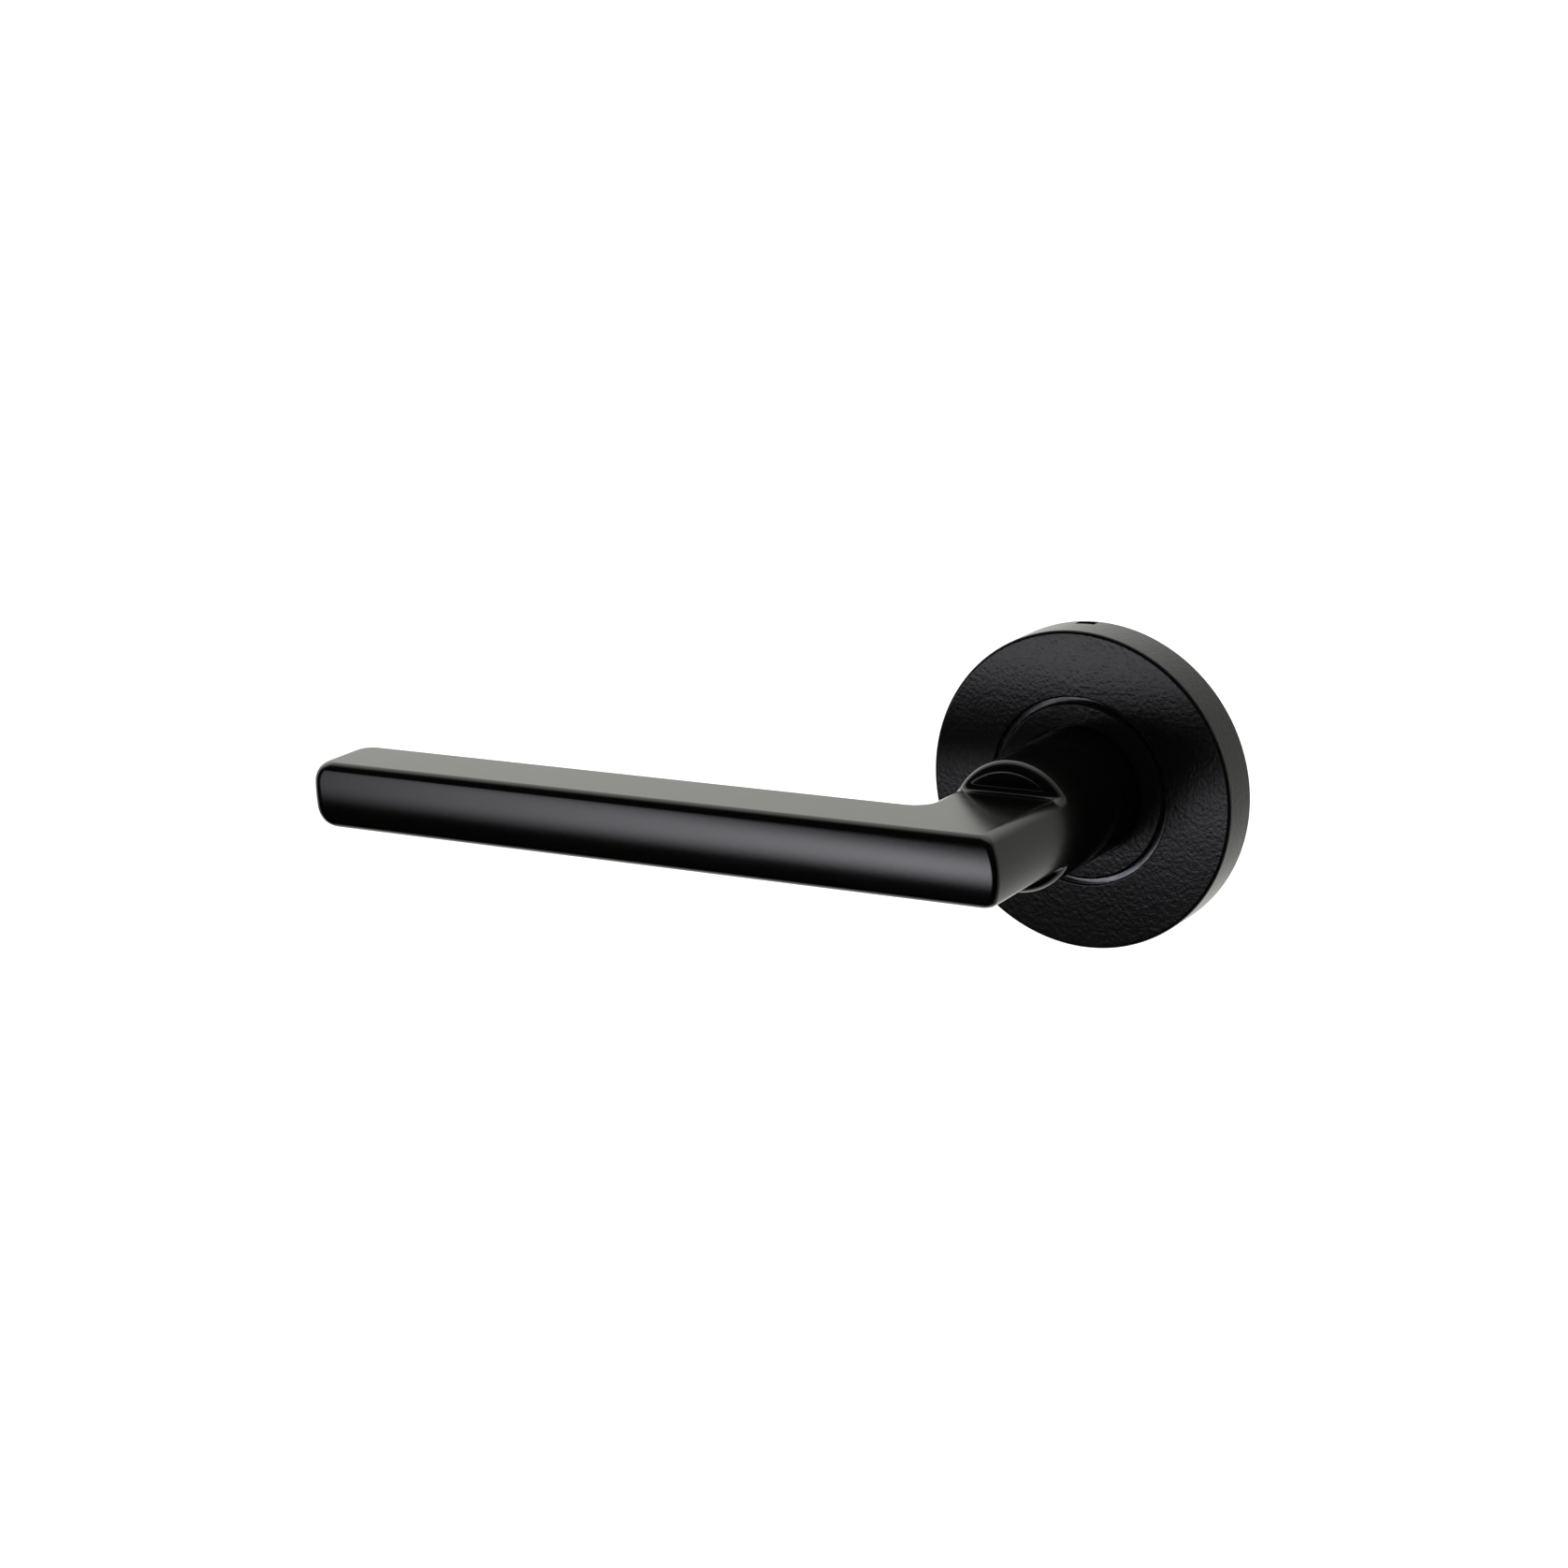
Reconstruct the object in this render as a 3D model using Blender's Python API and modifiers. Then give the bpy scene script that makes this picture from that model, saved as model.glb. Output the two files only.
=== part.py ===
"""Sprung lever handle on a round rose, one side of a door set, modelled as an assembly.

Frame: the origin is the spindle axis at the door face. +X is to the right seen from the
front, +Y goes into the door and +Z is up. The lever points to -X and the door face is y = 0.
"""
import math

import bmesh
import bpy
from mathutils import Matrix, Vector

MM = 0.001

# ---- driving dimensions, millimetres -------------------------------------------------
GAP = 0.3                  # clearance kept between neighbouring pieces
OVERLAP = 0.05             # depth by which joined shapes run into each other

ROSE_RADIUS = 26.0
ROSE_DEPTH = 7.5
COVER_WALL = 1.0
COVER_HOLE_RADIUS = 15.3
COVER_EDGE = 0.5
SLOT_WIDTH = 3.4           # pry slot in the cover's wall, near its rear edge
SLOT_REAR = 0.6
SLOT_FRONT = 2.2
SLOT_ANGLE = 91.5

BASE_RADIUS = 24.0
BASE_DEPTH = 6.0
BASE_FRONT_WALL = 1.1
BASE_HOLE_RADIUS = 12.7
POCKET_RADIUS = 13.8
LID_SEAT_DEPTH = 1.3
SNAP_WIRE = 1.2
SNAP_PLACE = 3.2           # groove centre, in front of the door face
FIXING_RADIUS = 19.0       # 38 mm between centres
WOOD_SCREW_ANGLES = (135.0, 315.0)
POST_ANGLES = (90.0, 270.0)
LID_SCREW_ANGLES = (0.0, 180.0)
LID_SCREW_RADIUS = 1.25

NECK_RADIUS = 10.5
NECK_RIM = 1.7             # rounding of the neck's front rim
NECK_ROOT = 1.0            # fillet where the flats meet the neck's front
JOURNAL_RADIUS = 9.6
SHANK_RADIUS = 8.0
SHANK_FLATS = 13.0         # across the two drive flats
NECK_SHOULDER = 7.3
JOURNAL_END = 4.7
SHANK_END = 0.3

BLADE_FRONT = 54.0
BLADE_THICKNESS = 13.6
BLADE_HEIGHT = 11.2
BLADE_CROWN = 0.7
BLADE_EDGE = 1.0
FRONT_RIM = 1.0            # rounding of the block's front rim
BLADE_TIP = 119.5
STEP_PLANE = 30.6          # the flats of the blade end here on the round neck
TIP_CORNER = 2.2
TIP_ROUND = 2.6            # rounding of the blade's end seen from the front
CROTCH = 2.6               # fillet between the blade's back and the neck

SPINDLE_SIDE = 8.0
SOCKET_SIDE = 8.5
SOCKET_DEPTH = 36.0
SPINDLE_FRONT = 34.0
SPINDLE_REAR = 28.0
GRUB_PLACE = 20.0
GRUB_RADIUS = 2.5

CAM_FRONT = 4.4
CAM_THICKNESS = 1.5
CAM_HUB_RADIUS = 10.1
CAM_ARM_HALF_ANGLE = 6.0
ARM_RADIUS = 13.5
STOP_INNER_ANGLE = 38.0    # the stop ear swings from 90 degrees to just over this
STOP_OUTER_ANGLE = 27.0
STOP_INNER_RADIUS = 10.4

SPRING_RADIUS = 11.9       # arc that the coil follows
SPRING_COIL = 1.1
SPRING_WIRE = 0.6
SPRING_TURNS = 9
SPRING_PLACE = 3.1

FRONT = -1.0               # the front of the lock faces -Y

# ---- clean scene ---------------------------------------------------------------------
for leftover in list(bpy.data.objects):
    bpy.data.objects.remove(leftover, do_unlink=True)

scene_root = bpy.context.scene.collection
parts = bpy.data.collections.new("lever_handle_lockset")
scene_root.children.link(parts)
cutters = bpy.data.collections.new("cutters")
scene_root.children.link(cutters)


# ---- materials -----------------------------------------------------------------------
def make_material(name, colour, roughness, metallic):
    material = bpy.data.materials.new(name)
    material.use_nodes = True
    shader = material.node_tree.nodes["Principled BSDF"]
    shader.inputs["Base Color"].default_value = (*colour, 1.0)
    shader.inputs["Roughness"].default_value = roughness
    shader.inputs["Metallic"].default_value = metallic
    material.diffuse_color = (*colour, 1.0)
    return material


BLACK_COAT = make_material("black_powder_coat", (0.012, 0.012, 0.013), 0.38, 0.0)
ZINC = make_material("zinc_casting", (0.42, 0.43, 0.44), 0.45, 1.0)
STEEL = make_material("zinc_plated_steel", (0.55, 0.56, 0.58), 0.30, 1.0)
SPRING_STEEL = make_material("spring_steel", (0.20, 0.20, 0.21), 0.30, 1.0)
NYLON = make_material("nylon", (0.75, 0.74, 0.70), 0.50, 0.0)
BLACK_OXIDE = make_material("black_oxide_steel", (0.03, 0.03, 0.032), 0.40, 1.0)


# ---- modelling helpers ---------------------------------------------------------------
def link(obj, collection, material=None):
    for old in list(obj.users_collection):
        old.objects.unlink(obj)
    collection.objects.link(obj)
    if material is not None:
        obj.data.materials.clear()
        obj.data.materials.append(material)
    return obj


def as_cutter(obj):
    link(obj, cutters)
    obj.hide_render = True
    obj.display_type = "WIRE"
    return obj


def object_from_bmesh(name, shape, collection, material=None):
    mesh = bpy.data.meshes.new(name)
    shape.to_mesh(mesh)
    shape.free()
    obj = bpy.data.objects.new(name, mesh)
    collection.objects.link(obj)
    if material is not None:
        mesh.materials.append(material)
    return obj


def turned(name, outline, material, segments=64, collection=parts):
    """Solid of revolution about the spindle axis.

    outline is a closed loop of (radius, depth in front of the door face) in millimetres.
    A loop that touches radius 0 gives a solid piece, any other gives a ring.
    """
    mesh = bpy.data.meshes.new(name)
    points = [(radius * MM, 0.0, depth * MM) for radius, depth in outline]
    closed = min(radius for radius, _ in outline) > 0.0
    edges = [(i, i + 1) for i in range(len(points) - 1)]
    if closed:
        edges.append((len(points) - 1, 0))
    mesh.from_pydata(points, edges, [])
    obj = bpy.data.objects.new(name, mesh)
    collection.objects.link(obj)
    obj.rotation_euler = (math.radians(90.0), 0.0, 0.0)
    screw = obj.modifiers.new("turn", "SCREW")
    screw.axis = "Z"
    screw.steps = segments
    screw.render_steps = segments
    screw.use_merge_vertices = True
    screw.merge_threshold = 0.00001
    if material is not None:
        mesh.materials.append(material)
    return obj


def freeze(obj):
    """Replace the object's mesh by its evaluated one, placed in world space."""
    bpy.context.view_layer.update()
    graph = bpy.context.evaluated_depsgraph_get()
    mesh = bpy.data.meshes.new_from_object(obj.evaluated_get(graph))
    mesh.transform(obj.matrix_world)
    obj.modifiers.clear()
    obj.data = mesh
    obj.matrix_world = Matrix.Identity(4)
    shape = bmesh.new()
    shape.from_mesh(mesh)
    bmesh.ops.remove_doubles(shape, verts=shape.verts, dist=0.000001)
    bmesh.ops.recalc_face_normals(shape, faces=shape.faces)
    shape.to_mesh(mesh)
    shape.free()
    return obj


def smooth(obj, angle=30.0):
    obj.data.shade_smooth()
    obj.data.set_sharp_from_angle(angle=math.radians(angle))
    return obj


def cylinder(name, radius, start, end, centre=(0.0, 0.0), segments=32, axis="Y"):
    """Cylinder cutter or blank. Along Y, start and end are depths in front of the door."""
    shape = bmesh.new()
    bmesh.ops.create_cone(shape, cap_ends=True, segments=segments, radius1=radius * MM,
                          radius2=radius * MM, depth=abs(end - start) * MM)
    middle = (start + end) / 2.0
    if axis == "Y":
        turn = Matrix.Rotation(math.radians(90.0), 4, "X")
        place = Matrix.Translation(Vector((centre[0], FRONT * middle, centre[1])) * MM)
    elif axis == "Z":
        turn = Matrix.Identity(4)
        place = Matrix.Translation(Vector((centre[0], centre[1], middle)) * MM)
    else:
        turn = Matrix.Rotation(math.radians(90.0), 4, "Y")
        place = Matrix.Translation(Vector((middle, centre[0], centre[1])) * MM)
    bmesh.ops.transform(shape, matrix=place @ turn, verts=shape.verts)
    return object_from_bmesh(name, shape, cutters)


def box(name, low, high):
    shape = bmesh.new()
    bmesh.ops.create_cube(shape, size=1.0)
    low, high = Vector(low) * MM, Vector(high) * MM
    size = high - low
    matrix = Matrix.Translation((low + high) / 2.0) @ Matrix.Diagonal((*size, 1.0))
    bmesh.ops.transform(shape, matrix=matrix, verts=shape.verts)
    return object_from_bmesh(name, shape, cutters)


def slab(name, outline, front, back, collection=cutters):
    """Prism along Y on an (x, z) outline, from depth front to depth back."""
    shape = bmesh.new()
    verts = [shape.verts.new((x * MM, FRONT * front * MM, z * MM)) for x, z in outline]
    face = shape.faces.new(verts)
    grown = bmesh.ops.extrude_face_region(shape, geom=[face])
    moved = [item for item in grown["geom"] if isinstance(item, bmesh.types.BMVert)]
    bmesh.ops.translate(shape, verts=moved, vec=(0.0, (front - back) * MM, 0.0))
    bmesh.ops.recalc_face_normals(shape, faces=shape.faces)
    return object_from_bmesh(name, shape, collection)


def sector(name, inner, outer, angle_from, angle_to, front, back, steps=6):
    """Block between two radii and two angles, from depth front to depth back."""
    angles = [angle_from + (angle_to - angle_from) * i / steps for i in range(steps + 1)]
    ring = [polar(outer, angle) for angle in angles]
    ring += [polar(inner, angle) for angle in reversed(angles)]
    return slab(name, ring, front, back)


def ear(name, inner, outer, angle, radius, front, back):
    """Tongue of constant width that runs outwards from the axis and ends in a half circle."""
    x, z = polar(outer, angle)
    points = [polar(inner, angle)]
    ring = [(x + radius * math.cos(math.radians(angle - 90.0 + 15.0 * i)),
             z + radius * math.sin(math.radians(angle - 90.0 + 15.0 * i))) for i in range(13)]
    start = Vector(points[0])
    side = Vector(polar(radius, angle + 90.0))
    outline = [tuple(start - side)] + ring + [tuple(start + side)]
    return slab(name, outline, front, back)


def boolean(obj, tool, operation="DIFFERENCE"):
    modifier = obj.modifiers.new(operation.lower(), "BOOLEAN")
    modifier.operation = operation
    modifier.solver = "EXACT"
    modifier.object = as_cutter(tool)
    return modifier


def turned_at(name, outline, centre):
    """Turned cutter about a line along Y through centre."""
    hole = turned(name, outline, None, 28, cutters)
    hole.location = (centre[0] * MM, 0.0, centre[1] * MM)
    return freeze(hole)


def stepped_hole(name, centre, front, front_radius, step, back_radius, back):
    """Cutter for a hole along Y that changes radius at one depth."""
    outline = [(0.0, front), (front_radius, front), (front_radius, step), (back_radius, step),
               (back_radius, back), (0.0, back)]
    return turned_at(name, outline, centre)


def polar(radius, angle):
    return (radius * math.cos(math.radians(angle)), radius * math.sin(math.radians(angle)))


# ---- lever body ----------------------------------------------------------------------
def quarter(offset, radius):
    """How far a quarter round of that radius has dropped, offset along from its start."""
    reach = min(max(offset, 0.0), radius)
    return radius - math.sqrt(max(radius * radius - reach * reach, 0.0))


def ease(share):
    share = min(max(share, 0.0), 1.0)
    return share * share * (3.0 - 2.0 * share)


def chord(radius, z):
    return math.sqrt(max(radius * radius - z * z, 0.0))


def rounded(centre, radius, start, end, steps=5):
    """Points on an arc around centre, from one angle to another."""
    turns = [polar(radius, start + (end - start) * i / steps) for i in range(steps + 1)]
    return [(centre[0] + x, centre[1] + y) for x, y in turns]


def blade_loop(z):
    """Outline of one level through the blade, from the neck's right side to its left side."""
    half = BLADE_HEIGHT / 2.0
    start = STEP_PLANE - NECK_RIM
    reach = NECK_RIM + NECK_ROOT + 0.6
    inset = quarter(abs(z) - (half - BLADE_EDGE), BLADE_EDGE)
    front = BLADE_FRONT - BLADE_CROWN * (z / half) ** 2 - inset
    back = BLADE_FRONT - BLADE_THICKNESS + inset
    tip = -BLADE_TIP + max(inset, quarter(abs(z) - (half - TIP_ROUND), TIP_ROUND))
    corner = max(TIP_CORNER - 0.6 * inset, 0.5)

    side = [(NECK_RADIUS - inset * ease(i / 5.0), start + reach * i / 5.0) for i in range(6)]
    shaft = NECK_RADIUS - inset
    points = [(chord(radius, z), depth) for radius, depth in side]
    points += [(chord(radius, z), depth) for radius, depth in
               rounded((shaft - FRONT_RIM, front - FRONT_RIM), FRONT_RIM, 0.0, 90.0, 4)]
    points += rounded((tip + corner, front - corner), corner, 90.0, 180.0, 5)
    points += rounded((tip + corner, back + corner), corner, 180.0, 270.0, 5)
    turn = rounded((NECK_RADIUS + CROTCH, BLADE_FRONT - BLADE_THICKNESS - CROTCH),
                   CROTCH + inset, 90.0, 180.0, 6)
    points += [(-chord(radius, z), depth) for radius, depth in turn]
    points += [(-chord(radius, z), depth) for radius, depth in reversed(side)]
    return points


def neck_line(z, count=28):
    """Front of one level through the round neck above the flats, right to left."""
    start = STEP_PLANE - NECK_RIM
    fill = quarter(BLADE_HEIGHT / 2.0 + NECK_ROOT - abs(z), NECK_ROOT)
    points = []
    for i in range(count + 1):
        x = chord(NECK_RADIUS, z) * math.cos(math.pi * i / count)
        inside = NECK_RADIUS - math.hypot(x, z)
        depth = start + chord(NECK_RIM, NECK_RIM - min(inside, NECK_RIM))
        points.append((x, depth + fill * ease(inside / NECK_RIM)))
    return points


def lever_levels():
    """Heights of the levels above the middle: through the blade, then above the flats."""
    half = BLADE_HEIGHT / 2.0
    low = half - BLADE_EDGE
    blade = [low * i / 4.0 for i in range(5)]
    blade += [low + BLADE_EDGE * math.sin(math.radians(18.0 * i)) for i in range(1, 6)]
    neck = [half + NECK_ROOT * (1.0 - math.cos(math.radians(30.0 * i))) for i in range(4)]
    first = math.degrees(math.asin(neck[-1] / NECK_RADIUS))
    neck += [polar(NECK_RADIUS, first + (87.0 - first) * i / 11.0)[1] for i in range(1, 12)]
    return blade, neck


def lever_skin():
    """Blade, block and neck as one closed skin of stacked levels."""
    shape = bmesh.new()

    def corner(x, depth, z):
        return shape.verts.new((x * MM, FRONT * depth * MM, z * MM))

    def level(z, outline):
        width = chord(NECK_RADIUS, z)
        foot = [corner(-width, NECK_SHOULDER, z), corner(width, NECK_SHOULDER, z)]
        return [corner(x, depth, z) for x, depth in outline], foot

    def sew(lower, upper):
        first, second = lower[0] + lower[1], upper[0] + upper[1]
        for i in range(len(first)):
            j = (i + 1) % len(first)
            shape.faces.new((first[i], first[j], second[j], second[i]))

    blade, neck = lever_levels()
    heights = [-z for z in reversed(blade[1:])] + blade
    middle = [level(z, blade_loop(z)) for z in heights]
    for lower, upper in zip(middle, middle[1:]):
        sew(lower, upper)
    for side, (line, foot) in ((1.0, middle[-1]), (-1.0, middle[0])):
        z = side * neck[0]
        inner = [corner(x, depth, z) for x, depth in neck_line(z)[1:-1]]
        shape.faces.new(line + list(reversed(inner)))
        below = ([line[0]] + inner + [line[-1]], foot)
        for height in neck[1:]:
            above = level(side * height, neck_line(side * height))
            sew(below, above)
            below = above
        shape.faces.new(below[0] + below[1])
    bmesh.ops.recalc_face_normals(shape, faces=shape.faces)
    bmesh.ops.triangulate(shape, faces=shape.faces)
    return object_from_bmesh("lever_handle", shape, parts, BLACK_COAT)


def lever_handle():
    handle = lever_skin()
    journal = turned("journal", [
        (0.0, NECK_SHOULDER + 2.0), (JOURNAL_RADIUS, NECK_SHOULDER + 2.0),
        (JOURNAL_RADIUS, JOURNAL_END), (SHANK_RADIUS, JOURNAL_END), (SHANK_RADIUS, 2.1),
        (SHANK_RADIUS - 0.7, 2.1), (SHANK_RADIUS - 0.7, 1.1), (SHANK_RADIUS, 1.1),
        (SHANK_RADIUS, SHANK_END), (0.0, SHANK_END)], BLACK_COAT, 64, cutters)
    freeze(journal)
    boolean(handle, journal, "UNION")
    socket_half = SOCKET_SIDE / 2.0
    boolean(handle, box("socket", (-socket_half, -SOCKET_DEPTH, -socket_half),
                        (socket_half, 1.0, socket_half)))
    flat = SHANK_FLATS / 2.0
    for side in (-1.0, 1.0):
        low = (min(side * flat, side * 12.0), -JOURNAL_END + 0.001, -12.0)
        high = (max(side * flat, side * 12.0), 1.0, 12.0)
        boolean(handle, box("drive_flat", low, high))
    boolean(handle, cylinder("grub_hole", GRUB_RADIUS, -NECK_RADIUS - 1.0, -socket_half + 0.5,
                             (0.0, -GRUB_PLACE), 24, "Z"))
    freeze(handle)
    handle.data.materials.clear()
    handle.data.materials.append(BLACK_COAT)
    smooth(handle)


def grub_screw():
    radius = GRUB_RADIUS - GAP
    low = -NECK_RADIUS + 0.7
    high = -SOCKET_SIDE / 2.0 - 0.05
    shape = bmesh.new()
    bmesh.ops.create_cone(shape, cap_ends=True, segments=24, radius1=radius * MM,
                          radius2=radius * MM, depth=(high - low) * MM)
    place = Matrix.Translation(Vector((0.0, -GRUB_PLACE, (low + high) / 2.0)) * MM)
    bmesh.ops.transform(shape, matrix=place, verts=shape.verts)
    screw = object_from_bmesh("grub_screw", shape, parts, BLACK_OXIDE)
    boolean(screw, cylinder("grub_hex", 1.45, low - 1.0, low + 2.0, (0.0, -GRUB_PLACE), 6, "Z"))
    smooth(freeze(screw))


def spindle():
    half = SPINDLE_SIDE / 2.0
    bar = box("spindle", (-half, -SPINDLE_FRONT, -half), (half, SPINDLE_REAR, half))
    link(bar, parts, STEEL)
    bevel = bar.modifiers.new("broken_corners", "BEVEL")
    bevel.width = 0.5 * MM
    bevel.segments = 2
    freeze(bar)


def neck_collar():
    rim = COVER_HOLE_RADIUS - 0.8
    rounding = 0.5
    outline = [(NECK_RADIUS + GAP, ROSE_DEPTH)]
    for i in range(4):
        angle = math.radians(90.0 - 30.0 * i)
        outline.append((rim - rounding + rounding * math.cos(angle),
                        ROSE_DEPTH - rounding + rounding * math.sin(angle)))
    outline += [(rim, BASE_DEPTH + GAP), (JOURNAL_RADIUS + GAP, BASE_DEPTH + GAP),
                (JOURNAL_RADIUS + GAP, NECK_SHOULDER - GAP),
                (NECK_RADIUS + GAP, NECK_SHOULDER - GAP)]
    smooth(freeze(turned("neck_collar", outline, BLACK_COAT, 64)))


def driver_cam():
    back = CAM_FRONT - CAM_THICKNESS
    hub = turned("driver_cam", [(0.0, CAM_FRONT), (CAM_HUB_RADIUS, CAM_FRONT),
                                (CAM_HUB_RADIUS, back), (0.0, back)], STEEL, 64)
    freeze(hub)
    for middle in (270.0, 90.0):
        arm = sector("cam_arm", 6.0, ARM_RADIUS, middle - CAM_ARM_HALF_ANGLE,
                     middle + CAM_ARM_HALF_ANGLE, CAM_FRONT, back)
        boolean(hub, arm, "UNION")
    bore = cylinder("cam_bore", SHANK_RADIUS + GAP, back - 1.0, CAM_FRONT + 1.0, (0.0, 0.0), 48)
    flat = SHANK_FLATS / 2.0 + GAP
    boolean(bore, box("bore_flats", (-flat, -9.0, -12.0), (flat, 1.0, 12.0)), "INTERSECT")
    freeze(bore)
    boolean(hub, bore)
    freeze(hub)
    smooth(hub)


def thrust_washer():
    outline = [(SHANK_RADIUS + GAP, 2.6), (9.9, 2.6), (9.9, 2.2), (SHANK_RADIUS + GAP, 2.2)]
    smooth(freeze(turned("thrust_washer", outline, NYLON, 48)))


def retaining_ring():
    """External circlip with an opening of 60 degrees and two lugs."""
    inner = SHANK_RADIUS - 0.7 + GAP
    outline = [(inner, 1.85), (9.7, 1.85), (9.7, 1.35), (inner, 1.35)]
    ring = turned("retaining_ring", outline, SPRING_STEEL, 48)
    freeze(ring)
    boolean(ring, sector("ring_opening", 1.0, 14.0, 60.0, 120.0, 2.6, 0.6))
    smooth(freeze(ring))


# ---- fixed body ----------------------------------------------------------------------
def bearing_bush():
    outer = BASE_HOLE_RADIUS - GAP
    inner = JOURNAL_RADIUS + GAP
    outline = [(inner, 5.9), (outer, 5.9), (outer, 4.7), (inner, 4.7)]
    smooth(freeze(turned("bearing_bush", outline, NYLON, 48)))


def base_plate():
    groove = BASE_RADIUS - 0.9
    groove_half = SNAP_WIRE / 2.0 + GAP
    floor = BASE_DEPTH - BASE_FRONT_WALL
    seat = 15.2
    outline = [(BASE_HOLE_RADIUS, BASE_DEPTH), (BASE_RADIUS - 0.6, BASE_DEPTH),
               (BASE_RADIUS, BASE_DEPTH - 0.6), (BASE_RADIUS, SNAP_PLACE + groove_half),
               (groove, SNAP_PLACE + groove_half), (groove, SNAP_PLACE - groove_half),
               (BASE_RADIUS, SNAP_PLACE - groove_half), (BASE_RADIUS, 0.0), (seat, 0.0),
               (seat, LID_SEAT_DEPTH), (POCKET_RADIUS, LID_SEAT_DEPTH),
               (POCKET_RADIUS, floor), (BASE_HOLE_RADIUS, floor)]
    plate = turned("base_plate", outline, ZINC, 64)
    freeze(plate)
    for low, high in ((STOP_OUTER_ANGLE, STOP_INNER_ANGLE),
                      (180.0 - STOP_INNER_ANGLE, 180.0 - STOP_OUTER_ANGLE)):
        boolean(plate, sector("stop_foot", BASE_HOLE_RADIUS + 0.3, POCKET_RADIUS + 0.4,
                              low + 1.0, high - 1.0, floor + 0.5, LID_SEAT_DEPTH + 0.7), "UNION")
        boolean(plate, sector("spring_stop", STOP_INNER_RADIUS, POCKET_RADIUS + 0.6,
                              low, high, 4.35, LID_SEAT_DEPTH + 0.3), "UNION")
    for angle in LID_SCREW_ANGLES:
        boolean(plate, ear("ear_seat", 13.0, FIXING_RADIUS - 0.5, angle, 3.9,
                           LID_SEAT_DEPTH + 0.1, -1.0))
        boolean(plate, cylinder("lid_screw_hole", LID_SCREW_RADIUS + GAP, -1.0, 4.4,
                                polar(FIXING_RADIUS - 0.5, angle), 20))
    for angle in POST_ANGLES:
        boolean(plate, stepped_hole("post_hole", polar(FIXING_RADIUS, angle), BASE_DEPTH + 1.0,
                                    2.0 + GAP, 1.5, 3.1 + GAP, -1.0))
    for angle in WOOD_SCREW_ANGLES:
        boolean(plate, stepped_hole("wood_hole", polar(FIXING_RADIUS, angle), BASE_DEPTH + 1.0,
                                    3.2 + GAP, 3.4, 1.75 + GAP, -1.0))
    freeze(plate)
    smooth(plate)


def cassette_lid():
    radius = 15.2 - GAP
    back, front = 0.2, 1.0
    lid = turned("cassette_lid", [(0.0, front), (radius, front), (radius, back), (0.0, back)],
                 STEEL, 64)
    freeze(lid)
    for angle in LID_SCREW_ANGLES:
        boolean(lid, ear("lid_ear", 11.0, FIXING_RADIUS - 0.5, angle, 3.6, front, back), "UNION")
    boolean(lid, cylinder("lid_bore", SHANK_RADIUS + 0.6, -1.0, 2.0, (0.0, 0.0), 48))
    for angle in LID_SCREW_ANGLES:
        hole = [(0.0, 2.0), (LID_SCREW_RADIUS + GAP, 2.0), (LID_SCREW_RADIUS + GAP, 1.1),
                (LID_SCREW_RADIUS + GAP + 2.1, -1.0), (0.0, -1.0)]
        boolean(lid, turned_at("lid_hole", hole, polar(FIXING_RADIUS - 0.5, angle)))
    smooth(freeze(lid))


def screw_blank(name, centre, outline, material, drive_depth, drive_front, recess):
    """Turned screw along Y at centre; outline is (radius, depth in front of the door)."""
    screw = turned(name, outline, material, 24)
    screw.location = (centre[0] * MM, 0.0, centre[1] * MM)
    freeze(screw)
    arm = recess
    for turn in (0.0, 90.0):
        slot = box("cross_slot", (-arm, FRONT * (drive_front + 1.0), -0.35),
                   (arm, FRONT * (drive_front - drive_depth), 0.35))
        slot.data.transform(Matrix.Rotation(math.radians(turn), 4, "Y"))
        slot.data.transform(Matrix.Translation((centre[0] * MM, 0.0, centre[1] * MM)))
        boolean(screw, slot)
    smooth(freeze(screw))


def lid_screws():
    """Countersunk screws put in from the door side, their heads flush with the lid."""
    shank = LID_SCREW_RADIUS
    for name, angle in zip(("lid_screw_right", "lid_screw_left"), LID_SCREW_ANGLES):
        centre = polar(FIXING_RADIUS - 0.5, angle)
        outline = [(0.0, 4.1), (shank - 0.25, 4.1), (shank, 3.8), (shank, 1.1),
                   (shank + 0.85, 0.25), (0.0, 0.25)]
        screw = turned(name, outline, STEEL, 24)
        screw.location = (centre[0] * MM, 0.0, centre[1] * MM)
        freeze(screw)
        for turn in (0.0, 90.0):
            slot = box("cross_slot", (-1.2, -0.7, -0.3), (1.2, 1.0, 0.3))
            slot.data.transform(Matrix.Rotation(math.radians(turn), 4, "Y"))
            slot.data.transform(Matrix.Translation((centre[0] * MM, 0.0, centre[1] * MM)))
            boolean(screw, slot)
        smooth(freeze(screw))


def wood_screws():
    for name, angle in zip(("wood_screw_upper", "wood_screw_lower"), WOOD_SCREW_ANGLES):
        centre = polar(FIXING_RADIUS, angle)
        outline = [(0.0, 5.4), (2.4, 5.4), (3.2, 4.7), (3.2, 3.7), (1.75, 3.7), (1.75, -11.5),
                   (0.3, -15.0), (0.0, -15.0)]
        screw_blank(name, centre, outline, STEEL, 1.0, 5.4, 1.7)


def bolt_posts():
    """Internally threaded posts that take the through bolts of the other side."""
    for name, angle in zip(("bolt_post_top", "bolt_post_bottom"), POST_ANGLES):
        centre = polar(FIXING_RADIUS, angle)
        outline = [(0.9, 5.6), (2.0, 5.6), (2.0, 1.2), (3.1, 1.2), (3.1, -7.6), (2.7, -8.0),
                   (1.65, -8.0), (1.65, 3.0), (0.9, 3.6)]
        post = turned(name, outline, STEEL, 24)
        post.location = (centre[0] * MM, 0.0, centre[1] * MM)
        smooth(freeze(post))


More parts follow.
